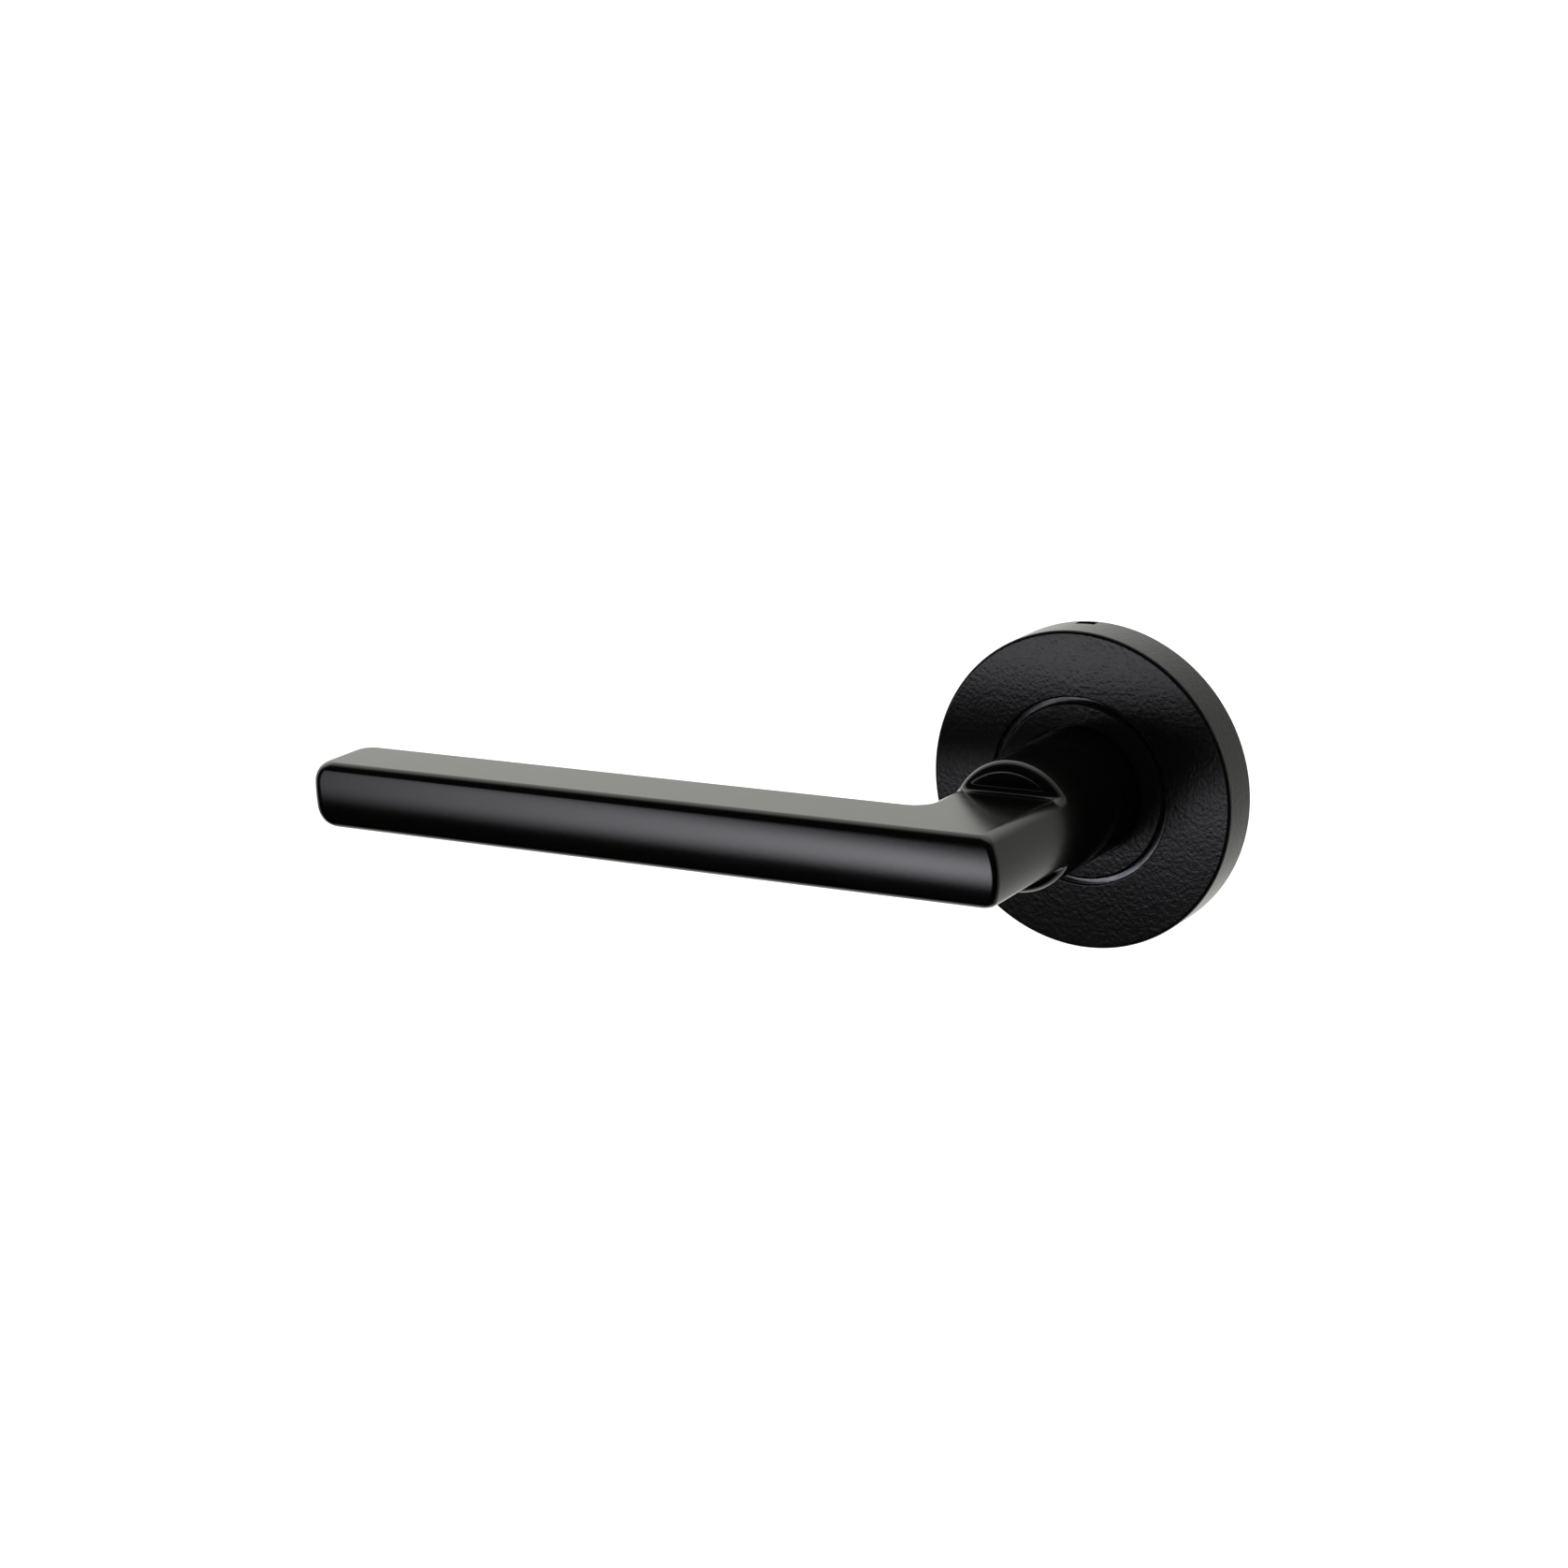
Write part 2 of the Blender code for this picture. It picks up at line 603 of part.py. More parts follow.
def arc_spring(name, angle_from, angle_to):
    """Compression spring bent along its arc pocket, ends closed and square."""
    per_turn = 8
    count = SPRING_TURNS * per_turn
    curve = bpy.data.curves.new(name, "CURVE")
    curve.dimensions = "3D"
    spline = curve.splines.new("POLY")
    spline.points.add(count)
    for i in range(count + 1):
        share = i / count
        along = math.radians(angle_from + (angle_to - angle_from) * share)
        turn = 2.0 * math.pi * SPRING_TURNS * share
        radius = SPRING_RADIUS + SPRING_COIL * math.cos(turn)
        depth = SPRING_PLACE + SPRING_COIL * math.sin(turn)
        spline.points[i].co = (radius * math.cos(along) * MM, FRONT * depth * MM,
                               radius * math.sin(along) * MM, 1.0)
    curve.bevel_depth = SPRING_WIRE / 2.0 * MM
    curve.bevel_resolution = 1
    curve.use_fill_caps = True
    source = bpy.data.objects.new(name + "_path", curve)
    cutters.objects.link(source)
    bpy.context.view_layer.update()
    graph = bpy.context.evaluated_depsgraph_get()
    mesh = bpy.data.meshes.new_from_object(source.evaluated_get(graph))
    bpy.data.objects.remove(source, do_unlink=True)
    shape = bmesh.new()
    shape.from_mesh(mesh)
    bmesh.ops.remove_doubles(shape, verts=shape.verts, dist=0.000001)
    bmesh.ops.recalc_face_normals(shape, faces=shape.faces)
    bpy.data.meshes.remove(mesh)
    smooth(object_from_bmesh(name, shape, parts, SPRING_STEEL), 60.0)


def return_springs():
    inset = CAM_ARM_HALF_ANGLE + 3.0
    reach = STOP_OUTER_ANGLE - 3.0
    arc_spring("return_spring_right", -90.0 + inset, reach)
    arc_spring("return_spring_left", 270.0 - inset, 180.0 - reach)


def cover_snap_ring():
    """Split wire ring that grips the inside of the cover."""
    radius = BASE_RADIUS + 0.05
    wire = SNAP_WIRE / 2.0
    outline = []
    sides = 6
    for i in range(sides):
        angle = -2.0 * math.pi * i / sides
        outline.append((radius + wire * math.cos(angle), SNAP_PLACE + wire * math.sin(angle)))
    ring = turned("cover_snap_ring", outline, SPRING_STEEL, 40)
    freeze(ring)
    boolean(ring, sector("ring_split", 20.0, 30.0, 196.0, 208.0, 5.0, 1.0))
    smooth(freeze(ring), 60.0)


# ---- sliding body --------------------------------------------------------------------
def rose_cover():
    inner = ROSE_RADIUS - COVER_WALL
    back_of_face = ROSE_DEPTH - COVER_WALL
    outline = [(COVER_HOLE_RADIUS, ROSE_DEPTH - 0.5), (COVER_HOLE_RADIUS + 0.15, ROSE_DEPTH - 0.15),
               (COVER_HOLE_RADIUS + 0.5, ROSE_DEPTH)]
    for i in range(4):
        angle = math.radians(90.0 - 30.0 * i)
        outline.append((ROSE_RADIUS - COVER_EDGE + COVER_EDGE * math.cos(angle),
                        ROSE_DEPTH - COVER_EDGE + COVER_EDGE * math.sin(angle)))
    outline += [(ROSE_RADIUS, 0.0), (inner, 0.0), (inner, back_of_face),
                (COVER_HOLE_RADIUS, back_of_face)]
    cover = turned("rose_cover", outline, BLACK_COAT, 80)
    freeze(cover)
    half = SLOT_WIDTH / 2.0
    slot = box("pry_slot", (-half, -SLOT_FRONT, 20.0), (half, -SLOT_REAR, 30.0))
    slot.data.transform(Matrix.Rotation(math.radians(90.0 - SLOT_ANGLE), 4, "Y"))
    boolean(cover, slot)
    smooth(freeze(cover))


# ---- assemble ------------------------------------------------------------------------
def main():
    lever_handle()
    grub_screw()
    spindle()
    neck_collar()
    driver_cam()
    thrust_washer()
    retaining_ring()
    bearing_bush()
    base_plate()
    cassette_lid()
    lid_screws()
    wood_screws()
    bolt_posts()
    return_springs()
    cover_snap_ring()
    rose_cover()


main()
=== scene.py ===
"""Satin black door lever on a round rose: its looks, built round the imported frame."""
import math

import bmesh
import bpy
from bpy.props import FloatProperty, FloatVectorProperty, IntProperty, PointerProperty
from mathutils import Matrix, Vector


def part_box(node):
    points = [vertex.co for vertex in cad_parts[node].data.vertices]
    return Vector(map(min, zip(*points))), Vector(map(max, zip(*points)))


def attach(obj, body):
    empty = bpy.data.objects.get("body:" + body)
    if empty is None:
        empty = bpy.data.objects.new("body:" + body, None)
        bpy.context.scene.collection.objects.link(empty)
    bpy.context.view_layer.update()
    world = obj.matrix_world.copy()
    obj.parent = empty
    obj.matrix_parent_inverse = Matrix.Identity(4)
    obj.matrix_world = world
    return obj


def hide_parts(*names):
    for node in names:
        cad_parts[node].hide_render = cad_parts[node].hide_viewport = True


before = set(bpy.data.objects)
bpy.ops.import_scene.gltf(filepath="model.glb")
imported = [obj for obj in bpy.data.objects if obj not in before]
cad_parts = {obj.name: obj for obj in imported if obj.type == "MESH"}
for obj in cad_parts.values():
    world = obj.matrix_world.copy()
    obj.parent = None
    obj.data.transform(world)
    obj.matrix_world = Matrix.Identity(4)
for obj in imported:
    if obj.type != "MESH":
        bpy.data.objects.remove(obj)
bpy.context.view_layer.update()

bl_info = {
    "name": "Door Lever On Rose",
    "version": (1, 0, 0),
    "blender": (4, 5, 0),
    "location": "View3D > Sidebar > Door Lever",
    "description": "Builds a sprung door lever, its rose and fixings, their finishes and a studio",
    "category": "Object",
}

MM = 0.001
MERGE_DISTANCE = 0.0008 * MM
LEVER, BASE, COVER = "lever", "rose_base", "cover"


# ---- sizes from the frame ------------------------------------------------------------
def millimetres(node):
    """Lowest and highest corner of a frame node, in millimetres."""
    low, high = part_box(node)
    return Vector(low) / MM, Vector(high) / MM


LEVER_LOW, LEVER_HIGH = millimetres("lever_handle")
COVER_LOW, COVER_HIGH = millimetres("rose_cover")
_, COLLAR_HIGH = millimetres("neck_collar")
BASE_LOW, BASE_HIGH = millimetres("base_plate")
SPINDLE_LOW, SPINDLE_HIGH = millimetres("spindle")
BLADE_FRONT = -LEVER_LOW.y
BLADE_TIP = -LEVER_LOW.x
NECK_RADIUS = LEVER_HIGH.z
ROSE_RADIUS = COVER_HIGH.x
ROSE_DEPTH = -COVER_LOW.y
COLLAR_RADIUS = COLLAR_HIGH.x
BASE_DEPTH = -BASE_LOW.y
BASE_RADIUS = BASE_HIGH.x
GAP = 0.3
JOURNAL_RADIUS = 9.6
SHANK_RADIUS = 8.0
SHANK_FLAT = 6.5
CLIP_GROOVE = (2.1, 1.1, 0.7)      # front and back edge, and how deep it is cut
NECK_SHOULDER = 7.3
JOURNAL_END = 4.7
SHANK_END = 0.3
SOCKET_HALF = 4.25
SOCKET_DEPTH = 36.0
GRUB_PLACE = 20.0
GRUB_RADIUS = 2.5
BASE_HOLE = 12.7
SPRING_POCKET = 13.8
POCKET_FRONT = 4.9
LID_SEAT = 15.2
LID_SEAT_DEPTH = 1.3
SNAP_GROOVE = (4.1, 2.3, 0.9)      # front and back edge, and how deep it is cut
SNAP_WIRE_PLACE = 3.2
STOP_ANGLES = ((27.0, 38.0), (142.0, 153.0))
STOP_INNER = 10.4
STOP_FRONT = 4.35
FIXING_RADIUS = 19.0
LID_FIXING_RADIUS = 18.5
POST_ANGLES = (90.0, 270.0)
WOOD_SCREW_ANGLES = (135.0, 315.0)
LID_SCREW_ANGLES = (0.0, 180.0)
CAMERA_TARGET = Vector((-0.07815, -0.0200, 0.00083))
CAMERA_SHIFT = (0.1002, -0.0137)


def linear(code):
    """sRGB hex colour as linear RGBA."""
    channels = [int(code[i:i + 2], 16) / 255.0 for i in (1, 3, 5)]
    return tuple(c / 12.92 if c <= 0.04045 else ((c + 0.055) / 1.055) ** 2.4
                 for c in channels) + (1.0,)


# ---- settings ------------------------------------------------------------------------
class LeverSizes(bpy.types.PropertyGroup):
    height: FloatProperty(name="Blade height", description="Height of the blade, mm",
                          default=11.2, min=6.0, max=20.0)
    thickness: FloatProperty(name="Blade thickness", description="Front to back, mm",
                             default=13.6, min=6.0, max=20.0)
    crown: FloatProperty(name="Crown", description="How far the front face bulges, mm",
                         default=0.7, min=0.0, max=2.0)
    edge: FloatProperty(name="Edge", description="Rounding of the long edges, mm",
                        default=1.3, min=0.2, max=3.0)
    tip_corner: FloatProperty(name="Tip corner", description="Rounding of the tip in plan, mm",
                              default=2.8, min=1.0, max=5.0)
    tip_round: FloatProperty(name="Tip round", description="Rounding of the tip from the front, mm",
                             default=3.4, min=1.0, max=5.0)
    front_rim: FloatProperty(name="Front rim", description="Rounding round the front face, mm",
                             default=1.0, min=0.3, max=3.0)
    step_plane: FloatProperty(name="Step plane", description="Where the flats end on the neck, mm",
                              default=30.6, min=20.0, max=45.0)
    neck_rim: FloatProperty(name="Neck rim", description="Rounding of the neck above the flats, mm",
                            default=1.7, min=0.2, max=3.0)
    root: FloatProperty(name="Root fillet", description="Hollow fillet where the flats end, mm",
                        default=1.0, min=0.2, max=2.0)
    crotch: FloatProperty(name="Crotch fillet", description="Hollow fillet behind the blade, mm",
                          default=2.6, min=0.5, max=9.0)


class RoseSizes(bpy.types.PropertyGroup):
    wall: FloatProperty(name="Wall", description="Thickness of the pressed cover, mm",
                        default=1.0, min=0.4, max=2.0)
    hole: FloatProperty(name="Hole", description="Radius of the cover's centre hole, mm",
                        default=15.3, min=12.0, max=20.0)
    edge: FloatProperty(name="Edge", description="Rounding of the cover's front edge, mm",
                        default=0.55, min=0.1, max=2.0)
    groove_edge: FloatProperty(name="Groove edge", description="Rounding beside the groove, mm",
                               default=0.3, min=0.1, max=1.0)
    slot_width: FloatProperty(name="Slot width", description="Width of the pry slot, mm",
                              default=3.4, min=1.0, max=8.0)
    slot_rear: FloatProperty(name="Slot rear", description="Rear edge of the pry slot, mm",
                             default=0.6, min=0.2, max=2.0)
    slot_front: FloatProperty(name="Slot front", description="Front edge of the pry slot, mm",
                              default=2.2, min=1.0, max=4.0)
    slot_angle: FloatProperty(name="Slot angle", description="Where the slot sits, degrees",
                              default=91.5, min=0.0, max=360.0)
    steps: IntProperty(name="Steps", description="Facets round the turned pieces",
                       default=240, min=48, max=360)


class FixingSizes(bpy.types.PropertyGroup):
    wood_pitch: FloatProperty(name="Wood screw pitch", description="Thread pitch, mm",
                              default=1.6, min=0.5, max=3.0)
    machine_pitch: FloatProperty(name="Machine pitch", description="Thread pitch, mm",
                                 default=0.7, min=0.3, max=1.5)
    spring_radius: FloatProperty(name="Spring arc", description="Arc the coil follows, mm",
                                 default=11.9, min=10.0, max=14.0)
    spring_coil: FloatProperty(name="Spring coil", description="Radius of a turn, mm",
                               default=1.1, min=0.5, max=2.0)
    spring_wire: FloatProperty(name="Spring wire", description="Thickness of the wire, mm",
                               default=0.6, min=0.2, max=1.0)
    spring_turns: IntProperty(name="Spring turns", description="Turns in each spring",
                              default=9, min=3, max=20)


class Finish(bpy.types.PropertyGroup):
    lever_black: FloatVectorProperty(name="Lever black", description="Colour of the lever's coat",
                                     subtype="COLOR", size=3, default=linear("#020202")[:3])
    rose_black: FloatVectorProperty(name="Rose black", description="Colour of the rose's coat",
                                    subtype="COLOR", size=3, default=linear("#030304")[:3])
    lever_roughness: FloatProperty(name="Lever roughness", description="Gloss of the lever's coat",
                                   subtype="FACTOR", default=0.145, min=0.0, max=1.0)
    rose_roughness: FloatProperty(name="Rose roughness", description="Gloss of the rose's coat",
                                  subtype="FACTOR", default=0.24, min=0.0, max=1.0)


class Studio(bpy.types.PropertyGroup):
    azimuth: FloatProperty(name="Azimuth", description="Camera, round from the front",
                           subtype="ANGLE", default=math.radians(35.416))
    elevation: FloatProperty(name="Elevation", description="Camera, above the horizon",
                             subtype="ANGLE", default=math.radians(14.352))
    roll: FloatProperty(name="Roll", description="Camera, about its own axis",
                        subtype="ANGLE", default=math.radians(-3.9605))
    distance: FloatProperty(name="Distance", description="Camera to the point it looks at",
                            subtype="DISTANCE", unit="LENGTH", default=0.5593)
    lens: FloatProperty(name="Lens", description="Focal length on a 36 mm sensor, mm",
                        default=76.26, min=20.0, max=200.0)
    floor: FloatProperty(name="Floor", description="Height of the floor",
                         subtype="DISTANCE", unit="LENGTH", default=-0.26)


# ---- making meshes -------------------------------------------------------------------
def link(name, mesh):
    obj = bpy.data.objects.new(name, mesh)
    bpy.context.scene.collection.objects.link(obj)
    return obj


def built(name, shape):
    """Object made from a finished bmesh."""
    mesh = bpy.data.meshes.new(name)
    shape.to_mesh(mesh)
    shape.free()
    return link(name, mesh)


def flatten(obj):
    """Apply the object's modifiers and its place, so that it sits at the origin."""
    bpy.context.view_layer.update()
    graph = bpy.context.evaluated_depsgraph_get()
    mesh = bpy.data.meshes.new_from_object(obj.evaluated_get(graph))
    mesh.transform(obj.matrix_world)
    obj.modifiers.clear()
    obj.data = mesh
    obj.matrix_world = Matrix.Identity(4)
    return obj


def clean(obj):
    """Merge doubled points and turn every face outwards."""
    shape = bmesh.new()
    shape.from_mesh(obj.data)
    bmesh.ops.remove_doubles(shape, verts=shape.verts, dist=MERGE_DISTANCE)
    bmesh.ops.recalc_face_normals(shape, faces=shape.faces)
    shape.to_mesh(obj.data)
    shape.free()
    return obj


def turned(name, outline, steps=96, centre=(0.0, 0.0)):
    """Solid of revolution along Y from a closed loop of (radius, depth in front of the door)."""
    mesh = bpy.data.meshes.new(name)
    points = [(radius * MM, 0.0, depth * MM) for radius, depth in outline]
    edges = [(i, i + 1) for i in range(len(points) - 1)]
    if min(radius for radius, _ in outline) > 0.0:
        edges.append((len(points) - 1, 0))
    mesh.from_pydata(points, edges, [])
    obj = link(name, mesh)
    obj.rotation_euler = (math.radians(90.0), 0.0, 0.0)
    obj.location = (centre[0] * MM, 0.0, centre[1] * MM)
    screw = obj.modifiers.new("turn", "SCREW")
    screw.steps = steps
    screw.render_steps = steps
    screw.use_merge_vertices = True
    screw.merge_threshold = MERGE_DISTANCE
    return clean(flatten(obj))


def rounded(centre, radius, start, end, steps=5):
    """Points on an arc of (radius, depth), from one angle to another, in degrees."""
    turn = [math.radians(start + (end - start) * i / steps) for i in range(steps + 1)]
    return [(centre[0] + radius * math.cos(a), centre[1] + radius * math.sin(a)) for a in turn]


def slab(name, outline, front, back):
    """Prism along Y on an (x, z) outline, from depth front to depth back."""
    shape = bmesh.new()
    verts = [shape.verts.new((x * MM, -front * MM, z * MM)) for x, z in outline]
    grown = bmesh.ops.extrude_face_region(shape, geom=[shape.faces.new(verts)])
    moved = [item for item in grown["geom"] if isinstance(item, bmesh.types.BMVert)]
    bmesh.ops.translate(shape, verts=moved, vec=(0.0, (front - back) * MM, 0.0))
    return clean(built(name, shape))


def polar(radius, angle):
    """Point at a radius and an angle in degrees."""
    return (radius * math.cos(math.radians(angle)), radius * math.sin(math.radians(angle)))


def polygon(radius, sides, centre=(0.0, 0.0), turn=0.0):
    corners = [polar(radius, turn + 360.0 * i / sides) for i in range(sides)]
    return [(centre[0] + x, centre[1] + z) for x, z in corners]


def sector(name, inner, outer, start, end, front, back, steps=16):
    """Block between two radii and two angles, from depth front to depth back."""
    angles = [start + (end - start) * i / steps for i in range(steps + 1)]
    ring = [polar(outer, angle) for angle in angles]
    ring += [polar(inner, angle) for angle in reversed(angles)]
    return slab(name, ring, front, back)


def tongue(name, inner, outer, angle, radius, front, back):
    """Tongue of constant width that runs outwards and ends in a half circle."""
    centre = Vector(polar(outer, angle))
    start = Vector(polar(inner, angle))
    side = Vector(polar(radius, angle + 90.0))
    ring = [tuple(centre + Vector(polar(radius, angle - 90.0 + 9.0 * i))) for i in range(21)]
    return slab(name, [tuple(start - side)] + ring + [tuple(start + side)], front, back)


def block(name, low, high, turn=0.0, centre=(0.0, 0.0)):
    """Box between two corners in mm, turned about Y and then moved."""
    shape = bmesh.new()
    bmesh.ops.create_cube(shape, size=1.0)
    low, high = Vector(low) * MM, Vector(high) * MM
    place = Matrix.Translation((centre[0] * MM, 0.0, centre[1] * MM))
    place = place @ Matrix.Rotation(math.radians(turn), 4, "Y")
    place = place @ Matrix.Translation((low + high) / 2.0) @ Matrix.Diagonal((*(high - low), 1.0))
    bmesh.ops.transform(shape, matrix=place, verts=shape.verts)
    return built(name, shape)


def cut(obj, tool, operation="DIFFERENCE"):
    """One exact Boolean, applied, with the tool removed."""
    modifier = obj.modifiers.new(operation.lower(), "BOOLEAN")
    modifier.operation = operation
    modifier.solver = "EXACT"
    modifier.object = tool
    flatten(obj)
    bpy.data.objects.remove(tool, do_unlink=True)
    return obj


def soften(obj, width, segments=2, angle=40.0):
    """A small rounding on every edge sharper than the angle."""
    bevel = obj.modifiers.new("rounding", "BEVEL")
    bevel.width = width * MM
    bevel.segments = segments
    bevel.limit_method = "ANGLE"
    bevel.angle_limit = math.radians(angle)
    return flatten(obj)


def shade(obj, angle=35.0):
    """Smooth shading that keeps flat faces flat and edges crisp."""
    obj.data.shade_smooth()
    obj.data.set_sharp_from_angle(angle=math.radians(angle))
    weigh = obj.modifiers.new("weighted_normals", "WEIGHTED_NORMAL")
    weigh.mode = "FACE_AREA"
    weigh.weight = 60
    weigh.keep_sharp = True
    return flatten(obj)


def join(name, pieces):
    """One mesh from several, each a closed shell of its own."""
    shape = bmesh.new()
    for piece in pieces:
        shape.from_mesh(piece.data)
        bpy.data.objects.remove(piece, do_unlink=True)
    return built(name, shape)


def settle(obj, body, slot, material, *nodes):
    """Give a finished piece its material, its body and the nodes it stands for. The slot is not
    used.
    """
    obj.data.materials.clear()
    obj.data.materials.append(material)
    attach(obj, body)
    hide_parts(*nodes)
    return obj


# ---- node trees ----------------------------------------------------------------------
def wire(tree, node, inputs):
    """Set or link a node's inputs, by name or by place. A node given links its first output."""
    for name, value in inputs.items():
        if isinstance(value, bpy.types.Node):
            value = value.outputs[0]
        if isinstance(value, bpy.types.NodeSocket):
            tree.links.new(value, node.inputs[name])
        else:
            node.inputs[name].default_value = value
    return node


def add(tree, kind, inputs=None, **settings):
    """Add a node with its settings and its inputs."""
    node = tree.nodes.new(kind)
    for name, value in settings.items():
        setattr(node, name, value)
    return wire(tree, node, inputs or {})


def grow(name, tree, **sizes):
    """Run a geometry tree with the given sizes and keep the plain mesh it makes."""
    obj = link(name, bpy.data.meshes.new(name))
    modifier = obj.modifiers.new("form", "NODES")
    modifier.node_group = tree
    for item in tree.interface.items_tree:
        if item.in_out == "INPUT" and item.name in sizes:
            modifier[item.identifier] = sizes[item.name]
    return clean(flatten(obj))


def new_form(name, floats, integers=()):
    """An empty geometry tree with named inputs, and its input and output nodes."""
    tree = bpy.data.node_groups.new(name, "GeometryNodeTree")
    for label in floats:
        tree.interface.new_socket(label, in_out="INPUT", socket_type="NodeSocketFloat")
    for label in integers:
        tree.interface.new_socket(label, in_out="INPUT", socket_type="NodeSocketInt")
    tree.interface.new_socket("Finish", in_out="INPUT", socket_type="NodeSocketMaterial")
    tree.interface.new_socket("Geometry", in_out="OUTPUT", socket_type="NodeSocketGeometry")
    return tree, add(tree, "NodeGroupInput").outputs


def end_form(tree, geometry, given):
    """Real geometry with its finish, out of the tree."""
    real = add(tree, "GeometryNodeRealizeInstances", {"Geometry": geometry})
    done = add(tree, "GeometryNodeSetMaterial", {"Geometry": real, "Material": given["Finish"]})
    add(tree, "NodeGroupOutput", {"Geometry": done})
    return tree


def thread_form():
    """Ridge of a screw thread that winds forward along Y from the depth Start."""
    tree, given = new_form("thread_ridge", ("Radius", "Pitch", "Turns", "Ridge", "Start"),
                           ("Steps", "Sides"))
    length = add(tree, "ShaderNodeMath", {0: given["Pitch"], 1: given["Turns"]},
                 operation="MULTIPLY")
    helix = add(tree, "GeometryNodeCurveSpiral", {
        "Resolution": given["Steps"], "Rotations": given["Turns"],
        "Start Radius": given["Radius"], "End Radius": given["Radius"], "Height": length})
    profile = add(tree, "GeometryNodeCurvePrimitiveCircle", {"Resolution": given["Sides"],
                                                             "Radius": given["Ridge"]})
    swept = add(tree, "GeometryNodeCurveToMesh", {"Curve": helix, "Profile Curve": profile,
                                                  "Fill Caps": True})
    offset = add(tree, "ShaderNodeMath", {0: given["Start"], 1: -1.0}, operation="MULTIPLY")
    place = add(tree, "ShaderNodeCombineXYZ", {"Y": offset})
    moved = add(tree, "GeometryNodeTransform", {
        "Geometry": swept, "Translation": place, "Rotation": (math.radians(90.0), 0.0, 0.0)})
    return end_form(tree, moved, given)


def coil_form():
    """Compression spring that follows an arc about the spindle, its end turns closed up."""
    tree, given = new_form("arc_coil", ("Arc", "Coil", "Wire", "Place", "From", "To"),
                           ("Turns", "Count"))
    line = add(tree, "GeometryNodeMeshLine", {"Count": given["Count"]})
    index = add(tree, "GeometryNodeInputIndex")
    last = add(tree, "ShaderNodeMath", {0: given["Count"], 1: 1.0}, operation="SUBTRACT")
    share = add(tree, "ShaderNodeMath", {0: index, 1: last}, operation="DIVIDE")
    eased = add(tree, "ShaderNodeMapRange", {"Value": share}, interpolation_type="SMOOTHSTEP")
    closed = add(tree, "ShaderNodeMath", {0: eased, 1: 0.65}, operation="MULTIPLY")
    travel = add(tree, "ShaderNodeMath", {0: share, 1: 0.35, 2: closed},
                 operation="MULTIPLY_ADD")
    sweep = add(tree, "ShaderNodeMath", {0: given["To"], 1: given["From"]},
                operation="SUBTRACT")
    along = add(tree, "ShaderNodeMath", {0: sweep, 1: travel, 2: given["From"]},
                operation="MULTIPLY_ADD")
    whole = add(tree, "ShaderNodeMath", {0: given["Turns"], 1: 2.0 * math.pi},
                operation="MULTIPLY")
    turn = add(tree, "ShaderNodeMath", {0: whole, 1: share}, operation="MULTIPLY")
    waves = {(angle, wave): add(tree, "ShaderNodeMath", {0: value}, operation=wave)
             for angle, value in (("turn", turn), ("along", along))
             for wave in ("COSINE", "SINE")}
    radius = add(tree, "ShaderNodeMath", {0: given["Coil"], 1: waves["turn", "COSINE"],
                                          2: given["Arc"]}, operation="MULTIPLY_ADD")
    depth = add(tree, "ShaderNodeMath", {0: given["Coil"], 1: waves["turn", "SINE"],
                                         2: given["Place"]}, operation="MULTIPLY_ADD")
    place = add(tree, "ShaderNodeCombineXYZ", {
        axis: add(tree, "ShaderNodeMath", {0: first, 1: second}, operation="MULTIPLY")
        for axis, first, second in (("X", radius, waves["along", "COSINE"]),
                                    ("Y", depth, -1.0),
                                    ("Z", radius, waves["along", "SINE"]))})
    moved = add(tree, "GeometryNodeSetPosition", {"Geometry": line, "Position": place})
    path = add(tree, "GeometryNodeMeshToCurve", {"Mesh": moved})
    half = add(tree, "ShaderNodeMath", {0: given["Wire"], 1: 0.5}, operation="MULTIPLY")
    profile = add(tree, "GeometryNodeCurvePrimitiveCircle", {"Resolution": 12, "Radius": half})
    wire_mesh = add(tree, "GeometryNodeCurveToMesh", {"Curve": path, "Profile Curve": profile,
                                                      "Fill Caps": True})
    return end_form(tree, wire_mesh, given)


# ---- finishes ------------------------------------------------------------------------
NOISE_SPREAD = {"From Min": 0.3, "From Max": 0.7}     # where noise values mostly lie


def per_mm(size):
    """Texture scale whose pattern repeats about every size millimetres."""
    return 1.0 / (size * MM)


def new_material(name):
    """A material, its tree, its surface shader and Object coordinates in it."""
    material = bpy.data.materials.new(name)
    material.use_nodes = True
    tree = material.node_tree
    coords = add(tree, "ShaderNodeTexCoord").outputs["Object"]
    return material, tree, tree.nodes["Principled BSDF"], coords


